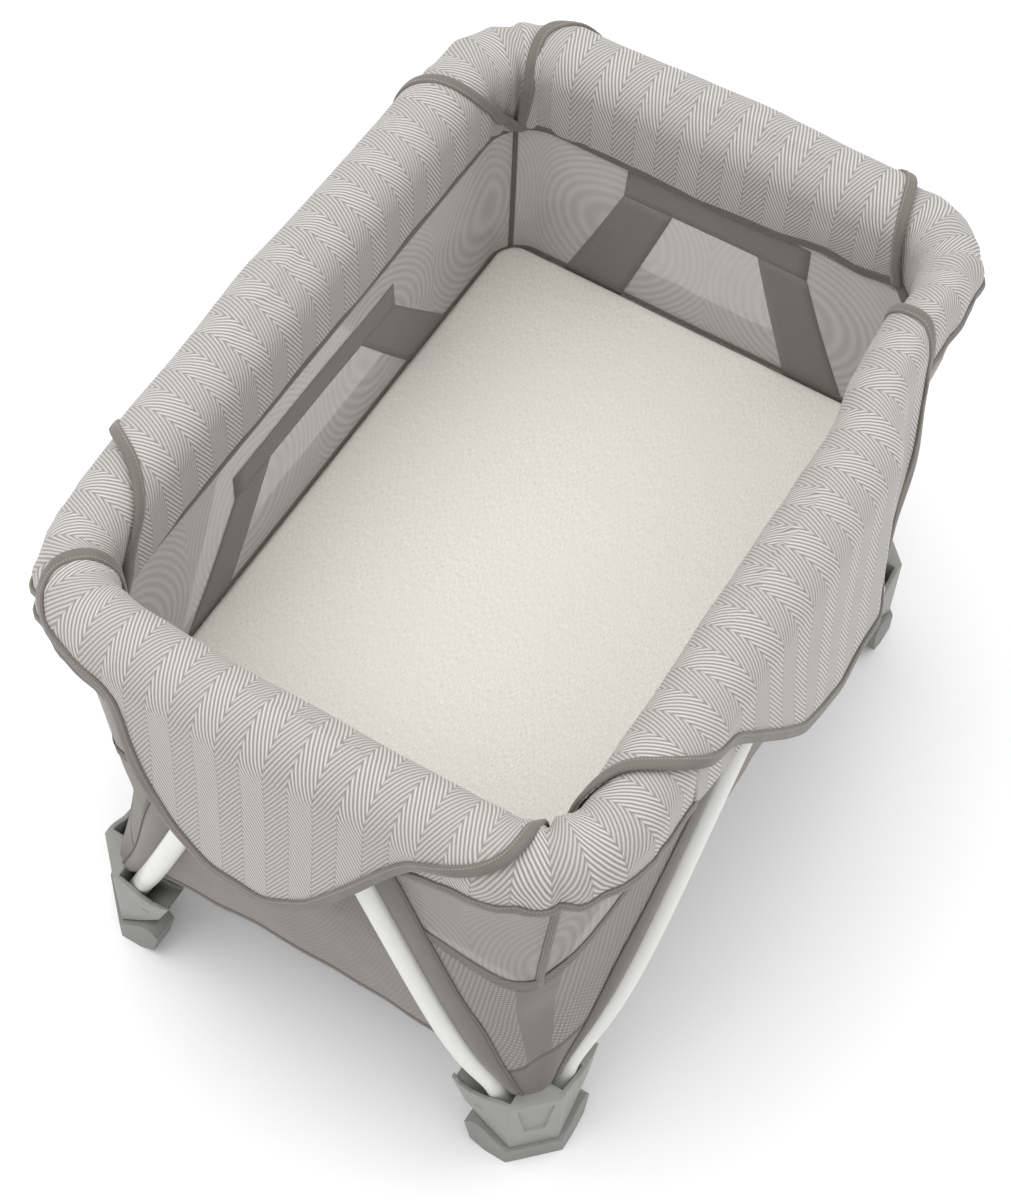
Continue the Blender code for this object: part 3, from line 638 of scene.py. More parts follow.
def ring(around, half_x, half_y, radius):
    """The same place round another rounded rectangle."""
    point, normal = path(around)
    limit = np.array([STRAIGHT_X, STRAIGHT_Y])
    core = np.clip(point, -limit, limit)
    core = core * np.array([(half_x - radius) / STRAIGHT_X, (half_y - radius) / STRAIGHT_Y])
    return core + normal * radius, normal


def gap(around, centre):
    """Signed distance round the rim, the short way."""
    return (around - centre + RIM_LENGTH / 2) % RIM_LENGTH - RIM_LENGTH / 2


def near(around, centre, width):
    """1 at the centre, fading to 0 beyond the width."""
    return math.exp(-((gap(around, centre) / width) ** 2))


def droop(around):
    """The cover sinks a little at the corners."""
    return -0.0015 * sum(near(around, centre, 0.05) for centre in CORNER_AT.values())


def wrinkle(around, down, seed):
    """Soft waves in the padded cover, with tighter gathers at the corners."""
    height = 0.0016 * ripple(around * 9.0, down * 9.0, 3.1 + seed)
    height += 0.0007 * ripple(around * 30.0, down * 16.0, 7.7 + seed)
    for centre in CORNER_AT.values():
        weight = near(around, centre, 0.085)
        if weight > 0.02:
            height += 0.0042 * weight * ripple(around * 42.0, down * 12.0, 1.3 + seed)
            slanted = around * 90.0 + down * 40.0
            height += 0.0016 * weight * ripple(slanted, down * 24.0, 5.3 + seed)
    return height


def profile(down, off):
    """Outward distance, z and (outward, upward) normal of the rim profile."""
    if down < SEAM_DOWN:
        t = down / SEAM_DOWN
        hollow = 0.0035 * math.sin(math.pi * t) * 0.5
        out = -(WALL_INSET + (RIM_R - WALL_INSET) * t) - off - hollow
        return out, RIM_Z - SEAM_DOWN + down, (-1.0, 0.0)
    radius = RIM_R + off
    angle = (down - SEAM_DOWN) / RIM_R
    if angle < math.pi:
        c, s = math.cos(angle), math.sin(angle)
        return -radius * c, RIM_Z + radius * s, (-c, s)
    return radius, RIM_Z - (down - EQUATOR), (1.0, 0.0)


def rim_point(around, down, off, flare, reach, seed, waves=1.0, lift=0.0):
    """Point on a cover that lies off the rim and flares outward towards its reach."""
    centre, normal = path(around)
    out, z, (face_out, face_up) = profile(down, off)
    height = wrinkle(around, down, seed) * waves
    for corner, pull in PULL_IN.items():
        out -= pull * near(around, CORNER_AT[corner], 0.10)
    lap = around % RIM_LENGTH
    if lap < 0.6:
        if out > 0:
            out *= interp(lap, SQUEEZE)
        # the seam stays on the wall; the rest of the rim moves in
        out -= interp(lap, SHIFT) * smoothstep(down / 0.06)
    if down > EQUATOR:
        t = (down - EQUATOR) / (reach - EQUATOR)
        out += flare * t**1.25
        z += flare * 0.28 * t**1.5
        height += 0.004 * t * ripple(around * 13.0, down * 3.0, 9.0 + seed) * waves
    out += face_out * height
    z += face_up * height + droop(around) + lift
    return np.array([centre[0] + normal[0] * out, centre[1] + normal[1] * out, z])


def surface_normal(surface, around, down):
    reach = 0.002
    along = surface(around + reach, down) - surface(around - reach, down)
    over = surface(around, down + reach) - surface(around, down - reach)
    normal = np.cross(along, over)
    return normal / (np.linalg.norm(normal) + 1e-12)


# ------------------------------------------------------------------ line of the legs
LEG_FOOT_Z, LEG_RISE = 0.105, 0.521
LEG_TOP_ALONG = 0.060  # leg top, from the middle of its side
COVER_CLEARANCE = 0.0170  # covers stay this far outside a leg's centre
# (share of the height, share of the way out from foot to top)
LEG_RUN = [
    (0.0, 0.0), (0.06, 0.006), (0.11, 0.13), (0.16, 0.30), (0.21, 0.44), (0.28, 0.57),
    (0.37, 0.67), (0.48, 0.74), (0.60, 0.80), (0.72, 0.865), (0.82, 0.93), (0.91, 0.995),
    (1.0, 1.0),
]
# foot along the side, foot out, top out, bow
LONG_LEG = (0.377, 0.279, 0.321, 0.010)
SHORT_LEG = (0.240, 0.420, 0.454, 0.006)


def leg_line(side, count):
    """Leg centres from foot to top as (along the side, out from the middle, z)."""
    foot_along, foot_out, top_out, bow = LONG_LEG if side in LONG else SHORT_LEG
    lean = foot_along - LEG_TOP_ALONG
    chord = math.hypot(lean, LEG_RISE)
    line = []
    for k in range(count):
        t = k / (count - 1)
        bowed = bow * 4 * t * (1 - t)
        along = foot_along + (LEG_TOP_ALONG - foot_along) * t - bowed * LEG_RISE / chord
        z = LEG_FOOT_Z + LEG_RISE * t - bowed * lean / chord
        line.append((along, foot_out + (top_out - foot_out) * interp(t, LEG_RUN), z))
    return line


def place(side, along, out, z):
    """World point from a side's own coordinates."""
    return {
        "front": (along, -out, z),
        "back": (-along, out, z),
        "right": (out, along, z),
        "left": (-out, -along, z),
    }[side]


LEG_TABLE = {side: np.array(leg_line(side, 40)).T for side in MIDDLE}


def leg_at(side, z):
    """Leg centre at a height: (along, out)."""
    alongs, outs, heights = LEG_TABLE[side]
    return float(np.interp(z, heights, alongs)), float(np.interp(z, heights, outs))


def over_legs(side, point):
    """Pushes the cover out where a leg or its sleeve lies right under it."""
    x, y, z = point
    if z > 0.65 or z < 0.15:
        return point
    leg_along, leg_out = leg_at(side, z)
    along, out = {"front": (x, -y), "back": (-x, y), "right": (y, x), "left": (-y, -x)}[side]
    short = leg_out + COVER_CLEARANCE - out
    if short <= 0:
        return point
    past = abs(along) - leg_along
    spread = 0.026 if past < 0 else 0.052
    weight = math.exp(-((past / spread) ** 2)) * smoothstep((0.65 - z) / 0.03)
    return point + np.array(place(side, 0, 1, 0)) * short * weight


# ------------------------------------------------------------------ rim covers, one per side
# (around, how far down the cover reaches there)
COVER_REACH = {
    "left": [
        (1.752, 0.000), (1.757, 0.030), (1.762, 0.075), (1.768, 0.118), (1.780, 0.150),
        (1.805, 0.176), (1.845, 0.188), (1.885, 0.205), (1.902, 0.262), (1.920, 0.318),
        (1.955, 0.382), (2.006, 0.418), (2.053, 0.420), (2.114, 0.372), (2.162, 0.300),
        (2.207, 0.226), (2.236, 0.190), (2.272, 0.170), (2.296, 0.150), (2.318, 0.118),
        (2.338, 0.078), (2.350, 0.040), (2.356, 0.000),
    ],
    "front": [
        (-0.396, 0.000), (-0.390, 0.030), (-0.370, 0.062), (-0.345, 0.085), (-0.315, 0.108),
        (-0.296, 0.135), (-0.268, 0.162), (-0.240, 0.185), (-0.205, 0.208), (-0.170, 0.250),
        (-0.116, 0.318), (-0.055, 0.388), (0.010, 0.436), (0.060, 0.455), (0.105, 0.452),
        (0.150, 0.446), (0.190, 0.425), (0.230, 0.390), (0.252, 0.320), (0.268, 0.240),
        (0.282, 0.165), (0.296, 0.115), (0.308, 0.075), (0.318, 0.040), (0.324, 0.000),
    ],
    "right": [
        (0.462, 0.000), (0.468, 0.035), (0.478, 0.078), (0.486, 0.112), (0.498, 0.148),
        (0.520, 0.180), (0.545, 0.226), (0.590, 0.320), (0.640, 0.398), (0.690, 0.420),
        (0.745, 0.398), (0.800, 0.318), (0.848, 0.226), (0.880, 0.188), (0.905, 0.160),
        (0.930, 0.132), (0.948, 0.100), (0.958, 0.060), (0.964, 0.020), (0.966, 0.000),
    ],
    "back": [
        (0.950, 0.000), (0.975, 0.018), (1.006, 0.036), (1.040, 0.068), (1.062, 0.100),
        (1.072, 0.130), (1.086, 0.165), (1.110, 0.215), (1.135, 0.300), (1.165, 0.390),
        (1.215, 0.436), (1.270, 0.450), (1.345, 0.450), (1.420, 0.428), (1.490, 0.365),
        (1.545, 0.285), (1.580, 0.225), (1.604, 0.186), (1.630, 0.150), (1.652, 0.120),
        (1.676, 0.095), (1.700, 0.070), (1.722, 0.036), (1.732, 0.000),
    ],
}
# (around, lift of the inner seam) on the right side
INNER_LIFT = [
    (0.45, 0.012), (0.48, 0.020), (0.52, 0.011), (0.56, 0.019), (0.62, 0.006),
    (0.70, 0.0), (0.97, 0.0),
]
COVER_OFF, COVER_EDGE_OFF = 0.0046, 0.0058  # the cover and its bound edge, off the rim


def cover_point(side, around, down, off=COVER_OFF):
    reach = interp(around, COVER_REACH[side])
    lift = 0.0
    if side == "right" and down < 0.05:
        lift = interp(around, INNER_LIFT) * (1 - down / 0.05)
    flare = 0.016 if side in LONG else 0.014
    flare *= 1.0 + 0.20 * ripple(around * 8.0, 2.0, SEED[side])
    flare *= smoothstep((reach - EQUATOR) / 0.16)
    if down > 0.12:
        off += 0.0050 * near(around, MIDDLE[side], 0.10)
    if side == "front" and around > 0.15:
        off += 0.0030 * smoothstep((around - 0.15) / 0.06)
    reach = max(reach, EQUATOR + 0.03)
    point = rim_point(around, down, off, flare, reach, SEED[side], lift=lift)
    return over_legs(side, point) if down > 0.15 else point


def bound_edge(name, points, ups, inside, section):
    """Binding along an edge, on the side of it where the point inside lies."""
    sides, _ = frames(points, ups)
    i = int(np.argmin(((points - inside) ** 2).sum(1)))
    outside = (inside - points[i]) @ sides[i] <= 0
    return sweep(name, points, section, BINDING, ups, mirrored=outside)


def rim_cover(side):
    table = COVER_REACH[side]
    # columns lie closer where the edge is steep
    spacing = 0.0058
    stations = []
    for (start, reach), (end, next_reach) in zip(table, table[1:]):
        count = max(2, int(math.hypot(end - start, next_reach - reach) / spacing))
        stations += steps(start, end, count)[:-1]
    stations.append(table[-1][0])
    rows = 64
    uv = [[(a, down) for down in steps(0.0, max(interp(a, table), 0.0006), rows)] for a in stations]
    grid = [[cover_point(side, *spot) for spot in column] for column in uv]
    cover = cloth("rim_cover_" + side, grid, uv, HERRINGBONE, thick=0.0024, offset=1.0)

    def surface(around, down):
        return cover_point(side, around, down)

    reaches = [interp(a, table) for a in stations]
    points = np.array(
        [cover_point(side, a, down, COVER_EDGE_OFF) for a, down in zip(stations, reaches)]
    )
    ups = np.array(
        [surface_normal(surface, a, max(down, 0.003)) for a, down in zip(stations, reaches)]
    )
    # drop doubled points, then smooth the line
    moved = np.linalg.norm(np.diff(points, axis=0), axis=1) > 1e-4
    keep = np.concatenate([[True], moved])
    points, ups = points[keep], ups[keep]
    for _ in range(2):
        for line in (ups, points):
            line[1:-1] = (line[:-2] + 2 * line[1:-1] + line[2:]) / 4
    middle = len(stations) // 2
    inside = surface(stations[middle], reaches[middle] - 0.02)
    section = strap(-0.0012, 0.0102, half_thick=0.0022)
    edge = bound_edge("rim_cover_edge_" + side, points, ups, inside, section)
    fold = side_fold(side, (0, 0, 0.6))
    attach(cover, "bracket_" + side, fold, "petal_" + side)
    attach(edge, "bracket_" + side, fold)


for side in COVER_REACH:
    rim_cover(side)

# ------------------------------------------------------------------ fitted cover under them
# (around from the corner's middle, how far down the cover reaches)
BASE_REACH = [
    (-0.330, 0.215), (-0.22, 0.262), (-0.11, 0.224), (0.0, 0.201),
    (0.11, 0.230), (0.22, 0.262), (0.330, 0.215),
]
CORNER_HALF = 0.150  # half length of a corner piece
SLEEVE_SHORT = 0.149  # the side pieces stop this far from the corner's middle


def base_point(around, down, off=0.0):
    """The fitted cover, with a narrow groove between two ridges near each corner's middle."""
    for centre in CORNER_AT.values():
        away = gap(around + 0.004, centre)
        off -= 0.0030 * math.exp(-((away / 0.0045) ** 2))
        off += 0.0022 * math.exp(-(((abs(away) - 0.013) / 0.008) ** 2))
    return rim_point(around, down, off, flare=0.004, reach=0.27, seed=71.0, waves=1.15)


def base_cover(name, middle, half, reach_at):
    """Fitted cover over part of the rim; also returns its stations."""
    spacing = 0.0055
    stations = steps(middle - half, middle + half, max(6, int(2 * half / spacing)))
    rows = 52
    uv = [[(a, down) for down in steps(0.0, reach_at(a), rows)] for a in stations]
    grid = [[base_point(*spot) for spot in column] for column in uv]
    return cloth(name, grid, uv, HERRINGBONE, thick=0.0026, offset=1.0), stations


def corner_cover(corner, centre):
    def reach_at(around):
        return interp(around - centre, BASE_REACH)

    cover, stations = base_cover("rim_base_" + corner, centre, CORNER_HALF, reach_at)
    points = np.array([base_point(a, reach_at(a), 0.0012) for a in stations])
    ups = np.array([surface_normal(base_point, a, reach_at(a)) for a in stations])
    middle = stations[len(stations) // 2]
    inside = base_point(middle, reach_at(middle) - 0.015)
    section = strap(-0.001, 0.0086, half_thick=0.0020)
    edge = bound_edge("rim_base_edge_" + corner, points, ups, inside, section)
    for part in (cover, edge):
        attach(part, "elbow_" + corner)


def side_cover(side, middle):
    half = HALF_SIDE[side]

    def reach_at(around):
        return interp(abs(around - middle) - half, BASE_REACH)

    cover, _ = base_cover("rim_sleeve_" + side, middle, half - SLEEVE_SHORT, reach_at)
    fold = side_fold(side, (0, 0, 0.6))
    attach(cover, "bracket_" + side, fold, "rim_pad_" + side)


for corner, centre in CORNER_AT.items():
    corner_cover(corner, centre)
for side, middle in MIDDLE.items():
    side_cover(side, middle)

# ------------------------------------------------------------------ inner walls of fine mesh
WALL_BODY = {"front": "foot_fl", "left": "foot_fl", "right": "foot_fr", "back": "foot_bl"}
# ribbed patches: a bar and two legs below it, mirrored about the side's middle
# bar half width, top, bottom; leg inner edge at top, inner and outer edge at bottom
LONG_PATCH = (0.150, 0.560, 0.524, 0.085, 0.185, 0.262)
SHORT_PATCH = (0.112, 0.606, 0.560, 0.052, 0.104, 0.176)
PATCH_LOW = 0.374
# name, share of the way down the wall, push outward, section
WALL_PIPING = (
    ("seam", 0.014, -0.0022, oval(0.0050, 10, wide=0.8, tall=1.5)),
    ("hem", 0.905, -0.0008, oval(0.0022, 8)),
)


def wall_point(around, fall, push=0.0):
    """fall is 0 at the rim seam and 1 at the mattress."""
    top, normal = ring(around, WALL_X, WALL_Y, RIM_CORNER - WALL_INSET)
    low, _ = ring(around, WALL_X - 0.0015, WALL_Y - 0.0015, 0.040)
    wave = 0.0022 * ripple(around * 7.0, fall * 1.7, 4.0) * math.sin(math.pi * min(1, fall * 1.05))
    hollow = 0.002 * math.sin(math.pi * fall)
    x, y = top * (1 - fall) + low * fall + normal * (wave + push - hollow)
    return np.array([x, y, WALL_TOP - WALL_HEIGHT * fall + droop(around) * (1 - fall)])


def follow(part, side, replaces=None):
    """Moves with a foot and gets its own mesh; no fold towards that foot's corner is made."""
    anchor = (-0.445, 0, 0) if side in LONG else (0, -0.304, 0)
    attach(part, WALL_BODY[side], side_fold(side, anchor), replaces)


def wall_patch(name, side, lefts, rights, heights, columns, rows):
    """Patch with (top, bottom) left and right edges along the side and (top, bottom) z."""
    grid, uv = [], []
    for i in range(columns + 1):
        a = i / columns
        spots = []
        for j in range(rows + 1):
            b = j / rows
            top = lefts[0] * (1 - a) + rights[0] * a
            low = lefts[1] * (1 - a) + rights[1] * a
            spots.append((top * (1 - b) + low * b, heights[0] * (1 - b) + heights[1] * b))
        uv.append(spots)
        grid.append(
            [wall_point(MIDDLE[side] + s, (WALL_TOP - z) / WALL_HEIGHT) for s, z in spots]
        )
    follow(cloth(name, grid, uv, PATCH, thick=0.0022), side)


def wall_patches(side):
    half, top, low, inner_top, inner_low, outer_low = LONG_PATCH if side in LONG else SHORT_PATCH
    name = f"wall_patch_{side}_"
    leg_z = (low - 0.0005, PATCH_LOW)
    wall_patch(name + "0", side, (-half, -half), (half, half), (top, low), 14, 5)
    wall_patch(name + "1", side, (-half, -outer_low), (-inner_top, -inner_low), leg_z, 6, 14)
    wall_patch(name + "2", side, (inner_top, inner_low), (half, outer_low), leg_z, 6, 14)


def wall(side, middle):
    half = HALF_SIDE[side]
    stations = steps(middle - half, middle + half, 60 if side in LONG else 44)
    falls = steps(0.0, 1.0, 18)
    grid = [[wall_point(a, fall) for fall in falls] for a in stations]
    uv = [[(a, WALL_HEIGHT * fall) for fall in falls] for a in stations]
    mesh = cloth("wall_mesh_" + side, grid, uv, WALL_MESH, thick=0.0008)
    follow(mesh, side, "mesh_wall_" + side)
    wall_patches(side)
    for kind, fall, push, section in WALL_PIPING:
        points = np.array([wall_point(a, fall, push) for a in stations])
        if kind == "seam" and side == "right":
            for point, a in zip(points, stations):
                if 0.45 < a < 0.97:
                    point[2] += 0.7 * interp(a, INNER_LIFT)
        follow(sweep(f"wall_{kind}_{side}", points, section, PIPING, UP), side)


for side, middle in MIDDLE.items():
    wall(side, middle)

for corner, centre in CORNER_AT.items():
    points = [wall_point(centre, fall) for fall in np.linspace(0.01, 0.97, 20)]
    section = oval(0.0021, 10, wide=1.6)
    piping = sweep("wall_corner_piping_" + corner, points, section, PIPING, (*SIGN[corner], 0))
    attach(piping, "foot_" + corner)

# ------------------------------------------------------------------ corner gussets
GUSSET_LOW, GUSSET_TOP = 0.142, 0.632
WINDOW_TOP = 0.668
WINDOW_TOP_FR = 0.662
# z, then |x|, |x| at the front left corner and |y| of the gusset's middle
GUSSET_LINE = (
    (0.14, 0.408, 0.408, 0.270),
    (0.20, 0.394, 0.405, 0.258),
    (0.30, 0.383, 0.404, 0.250),
    (0.37, 0.387, 0.406, 0.255),
    (0.46, 0.393, 0.404, 0.260),
    (0.56, 0.398, 0.398, 0.266),
    (0.64, 0.414, 0.414, 0.282),
)
GUSSET_X, GUSSET_X_FL, GUSSET_Y = ([(row[0], row[k]) for row in GUSSET_LINE] for k in (1, 2, 3))
# (place between the leg bands, -1 to 1; z of the hem under the window)
HEM = [
    (-1.0, 0.468), (-0.6, 0.428), (-0.3, 0.405), (0.0, 0.397),
    (0.3, 0.405), (0.6, 0.432), (1.0, 0.500),
]


def hem_z(u):
    return interp(u, HEM)


def patch_z(u):
    """Height of the seam over the plain patch at the foot."""
    return 0.205 + 0.012 * u


class Gusset:
    """The cloth surface that closes a corner between its two legs."""

    def __init__(self, corner):
        self.corner = corner
        self.sx, self.sy = SIGN[corner]
        self.outward = np.array([self.sx, self.sy, 0])
        self.across = tuple(Vector((self.sx, -self.sy, 0)).normalized())
        self.heights = np.linspace(GUSSET_LOW, GUSSET_TOP, 30)
        self.band_edges = {
            end: [self.find_band_edge(z, end) for z in self.heights] for end in (-1, 1)
        }

    def point(self, u, z):
        """u is -1 on the short side's leg and 1 on the long side's leg."""
        sx, sy = self.sx, self.sy
        inset, past = 0.004, 0.010
        along, out = leg_at("left", z)
        start = np.array([sx * (out - inset), sy * (along + past)])
        along, out = leg_at("front", z)
        end = np.array([sx * (along + past), sy * (out - inset)])
        line_x = GUSSET_X_FL if self.corner == "fl" else GUSSET_X
        target = np.array([sx * interp(z, line_x), sy * interp(z, GUSSET_Y)])
        # weighted quadratic curve from leg to leg that passes the target halfway
        weight = 1.0 + 1.4 * smoothstep((z - 0.15) / 0.30)
        control = ((2 + 2 * weight) * target - start - end) / (2 * weight)
        v = (u + 1) / 2
        parts = (1 - v) ** 2, 2 * v * (1 - v) * weight, v * v
        x, y = (parts[0] * start + parts[1] * control + parts[2] * end) / sum(parts)
        sag = 0.002 * ripple(u * 3 + sx, z * 9, sy * 5.0) * (1 - u * u)
        x, y = x - sx * sag, y - sy * sag
        if self.corner == "fr" and 0 < x < 0.425:
            y = self.inside_rim(x, y, z)
        return np.array([x, y, z])

    def inside_rim(self, x, y, z):
        """Keeps the gusset inside the rim where the rim is drawn in."""
        off = RIM_R * interp(x, SQUEEZE) - interp(x, SHIFT) - 0.007
        limit = RIM_Y + off
        if x >= STRAIGHT_X:
            square = (RIM_CORNER + off) ** 2 - (x - STRAIGHT_X) ** 2
            limit = STRAIGHT_Y + math.sqrt(max(square, 0.0))
        return y + max(0.0, -y - limit) * smoothstep((z - 0.53) / 0.06)

    def find_band_edge(self, z, end):
        """u where the band beside a leg ends, found by halving."""
        width = 0.022 + 0.016 * smoothstep((z - 0.14) / 0.18)
        base = self.point(end, z)
        low, high = 0.0, 1.0
        for _ in range(22):
            middle = (low + high) / 2
            if np.linalg.norm(self.point(end * (1 - middle), z) - base) < width:
                low = middle
            else:
                high = middle
        return end * (1 - low)

    def band_edge(self, end, z):
        return float(np.interp(z, self.heights, self.band_edges[end]))

    def between(self, u, z):
        """Point between the two bands; u runs from -1 to 1."""
        low, high = self.band_edge(-1, z), self.band_edge(1, z)
        return self.point(low + (high - low) * (u + 1) / 2, z)

    def attach(self, part, slot="panels"):
        anchor = (self.sx * 0.41, self.sy * 0.27, 0)
        attach(part, "foot_" + self.corner, (self.across, anchor, 0.34))


GUSSET_COLUMNS = 20
GUSSET_US = np.linspace(-1, 1, GUSSET_COLUMNS + 1)
WINDOW_U = 0.16  # texture half width of the window


def gusset_window(gusset):
    """Fine mesh from the hem up under the rim, with a band and a middle strip."""
    corner = gusset.corner
    top = WINDOW_TOP_FR if corner == "fr" else WINDOW_TOP
    spots = [[(u, z) for z in steps(hem_z(u), top, 12)] for u in GUSSET_US]
    grid = [[gusset.between(*spot) for spot in column] for column in spots]
    uv = [[(u * WINDOW_U + 0.115, z - 0.34) for u, z in column] for column in spots]
    gusset.attach(cloth("window_" + corner, grid, uv, WINDOW, thick=0.0007), "mesh")

    rises = steps(0.0, 0.020, 3)
    out = gusset.outward * 0.0012
    grid = [[gusset.between(u, hem_z(u) + rise) + out for rise in rises] for u in GUSSET_US]
    uv = [[(u * WINDOW_U, rise) for rise in rises] for u in GUSSET_US]
    gusset.attach(cloth("window_band_" + corner, grid, uv, HEM_MESH, thick=0.0007), "mesh")

    out = gusset.outward * 0.0010
    points = [gusset.between(0.0, z) + out for z in np.linspace(hem_z(0.0), WINDOW_TOP, 20)]
    section = oval(0.0011, 10, wide=4.6)
    gusset.attach(sweep("window_strip_" + corner, points, section, STRIP, gusset.outward))


def gusset_lower(gusset):
    """Sturdy mesh below the hem, a plain patch at the foot, and piping on both seams."""
    corner = gusset.corner
    grid = np.array(
        [[gusset.between(u, z) for z in steps(patch_z(u), hem_z(u), 26)] for u in GUSSET_US]
    )
    # texture u is the distance run across the cloth
    run = np.zeros(grid.shape[:2])
    run[1:] = np.cumsum(np.linalg.norm(np.diff(grid[:, :, :2], axis=0), axis=2), axis=0)
    uv = np.dstack([run, grid[:, :, 2]])
    middle = GUSSET_COLUMNS // 2
    mesh = cloth(
        "gusset_" + corner, grid, uv, [GUSSET_MESH, STRIP], thick=0.0018,
        column_mat=lambda i: int(middle - 3 <= i < middle + 3),
    )
    gusset.attach(mesh)

    grid = [[gusset.between(u, z) for z in steps(GUSSET_LOW, patch_z(u), 8)] for u in GUSSET_US]
    uv = [[(point @ np.array(gusset.across), point[2]) for point in column] for column in grid]
    gusset.attach(cloth("gusset_patch_" + corner, grid, uv, SLEEVE, thick=0.0022))

    for kind, height_at, radius in (("hem", hem_z, 0.0011), ("seam", patch_z, 0.0012)):
        points = [gusset.between(u, height_at(u)) for u in np.linspace(-1, 1, 40)]
        section = oval(radius, 8, tall=2.2)
        gusset.attach(sweep(f"gusset_{kind}_{corner}", points, section, PIPING, UP))


def leg_band(gusset, letter, end):
    """Dark, slightly domed sleeve band beside a leg, with its seam."""
    turn = (1.0, 0.25) if end < 0 else (0.25, 1.0)
    out = np.array([gusset.sx * turn[0], gusset.sy * turn[1], 0.0])
    out /= np.linalg.norm(out)
    heights = np.linspace(GUSSET_LOW, GUSSET_TOP, 31)
    inner = [gusset.band_edge(end, z) for z in heights]
    grid, uv = [], []
    for share in steps(0.0, 1.0, 8):
        dome = out * 0.0035 * math.sin(math.pi * min(1.0, share * 1.02))
        grid.append(
            [gusset.point(end + (u - end) * share, z) + dome for u, z in zip(inner, heights)]
        )
        uv.append([(share * 0.036, z) for z in heights])
    name = f"{gusset.corner}_{letter}"
    gusset.attach(cloth("leg_sleeve_" + name, grid, uv, SLEEVE, thick=0.0026))
    points = [gusset.point(u, z) + gusset.outward * 0.0014 for u, z in zip(inner, heights)]
    section = oval(0.0014, 8)
    gusset.attach(sweep("leg_sleeve_seam_" + name, points, section, PIPING, gusset.outward))


for corner in CORNER_AT:
    gusset = Gusset(corner)
    gusset_window(gusset)
    gusset_lower(gusset)
    leg_band(gusset, "a", -1)
    leg_band(gusset, "b", 1)

# ------------------------------------------------------------------ lower side panels
PANEL_LOW, PANEL_TOP = 0.176, 0.440
PANEL_HEIGHT = PANEL_TOP - PANEL_LOW


def panel_point(side, a, b):
    """a is -1 to 1 between the legs, b is 0 at the bottom edge and 1 at the top."""
    z = PANEL_LOW + PANEL_HEIGHT * b
    leg_along, leg_out = leg_at(side, z)
    wall_out = (WALL_Y if side in LONG else WALL_X) + 0.006
    start = leg_out - 0.010
    # the panel leans in from the legs to the wall
    top = smoothstep((z - 0.30) / 0.12)
    belly = 0.55 * (1 - abs(a) ** 2.2) * (0.35 + 0.65 * b)
    out = start + (wall_out - start) * max(top, belly)
    out += 0.0030 * ripple(a * 4.0, b * 3.0, SEED[side])
    arch = 0.010 * (1 - a * a) * (1 - b) ** 2
    return np.array(place(side, a * (leg_along - 0.004), out, z + arch))


def side_panel(side):
    places = steps(-1.0, 1.0, 44 if side in LONG else 30)
    rises = steps(0.0, 1.0, 22)
    half_width = 0.32 if side in LONG else 0.21
    grid = [[panel_point(side, a, b) for b in rises] for a in places]
    uv = [[(a * half_width, PANEL_HEIGHT * b) for b in rises] for a in places]
    panel = cloth("side_panel_" + side, grid, uv, PANEL_MESH, thick=0.0020)
    follow(panel, side, "cloth_panel_" + side)
    points = [panel_point(side, a, 0.0) for a in np.linspace(-1, 1, 60)]
    section = strap(-0.001, 0.009, half_thick=0.0018)
    outward = place(side, 0, 1, 0)
    follow(sweep("side_panel_hem_" + side, points, section, SLEEVE, outward), side)
    for letter, end in (("a", -1), ("b", 1)):
        points = [panel_point(side, end * 0.995, b) for b in np.linspace(0, 1, 30)]
        name = f"side_panel_edge_{side}_{letter}"
        follow(sweep(name, points, oval(0.0026, 8), SLEEVE), side)


for side in MIDDLE:
    side_panel(side)


# ------------------------------------------------------------------ smooth tubes for the legs
def leg_tube(node):
    _, side, end = node.split("_")
    sign = 1 if end == "pos" else -1
    line = leg_line(side, 48)
    points = np.array([place(side, sign * along, out, z) for along, out, z in line])
    # use the other end of the side if the frame's own tube lies there
    centre = points.mean(0)
    low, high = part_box(node)
    own = (np.array(low) + np.array(high)) / 2
    if any(centre[i] * own[i] < 0 and abs(own[i]) > 0.05 for i in (0, 1)):
        points = np.array([place(side, -sign * along, out, z) for along, out, z in line])

    def beyond(tip, before):
        """Runs the tube 12 mm on past its tip."""
        step = tip - before
        return tip + step / np.linalg.norm(step) * 0.012

    points = [beyond(points[0], points[1]), *points, beyond(points[-1], points[-2])]
    tube = sweep(f"tube_{side}_{end}", points, oval(0.0125, 28), TUBE)
    attach(tube, BODIES[node], replaces=node)


for node in frame["nodes"]:
    if node.startswith("leg_"):
        leg_tube(node)


# ------------------------------------------------------------------ mattress and its board
def outline(count):
    return [RIM_LENGTH * k / count for k in range(count)]


BED_OUTLINE = outline(220)


def ring_faces(rings, count):
    """Quads between neighbouring rings of points."""
    return [
        (i * count + j, i * count + k, (i + 1) * count + k, (i + 1) * count + j)
        for i in range(rings - 1)
        for j, k in ((j, (j + 1) % count) for j in range(count))
    ]


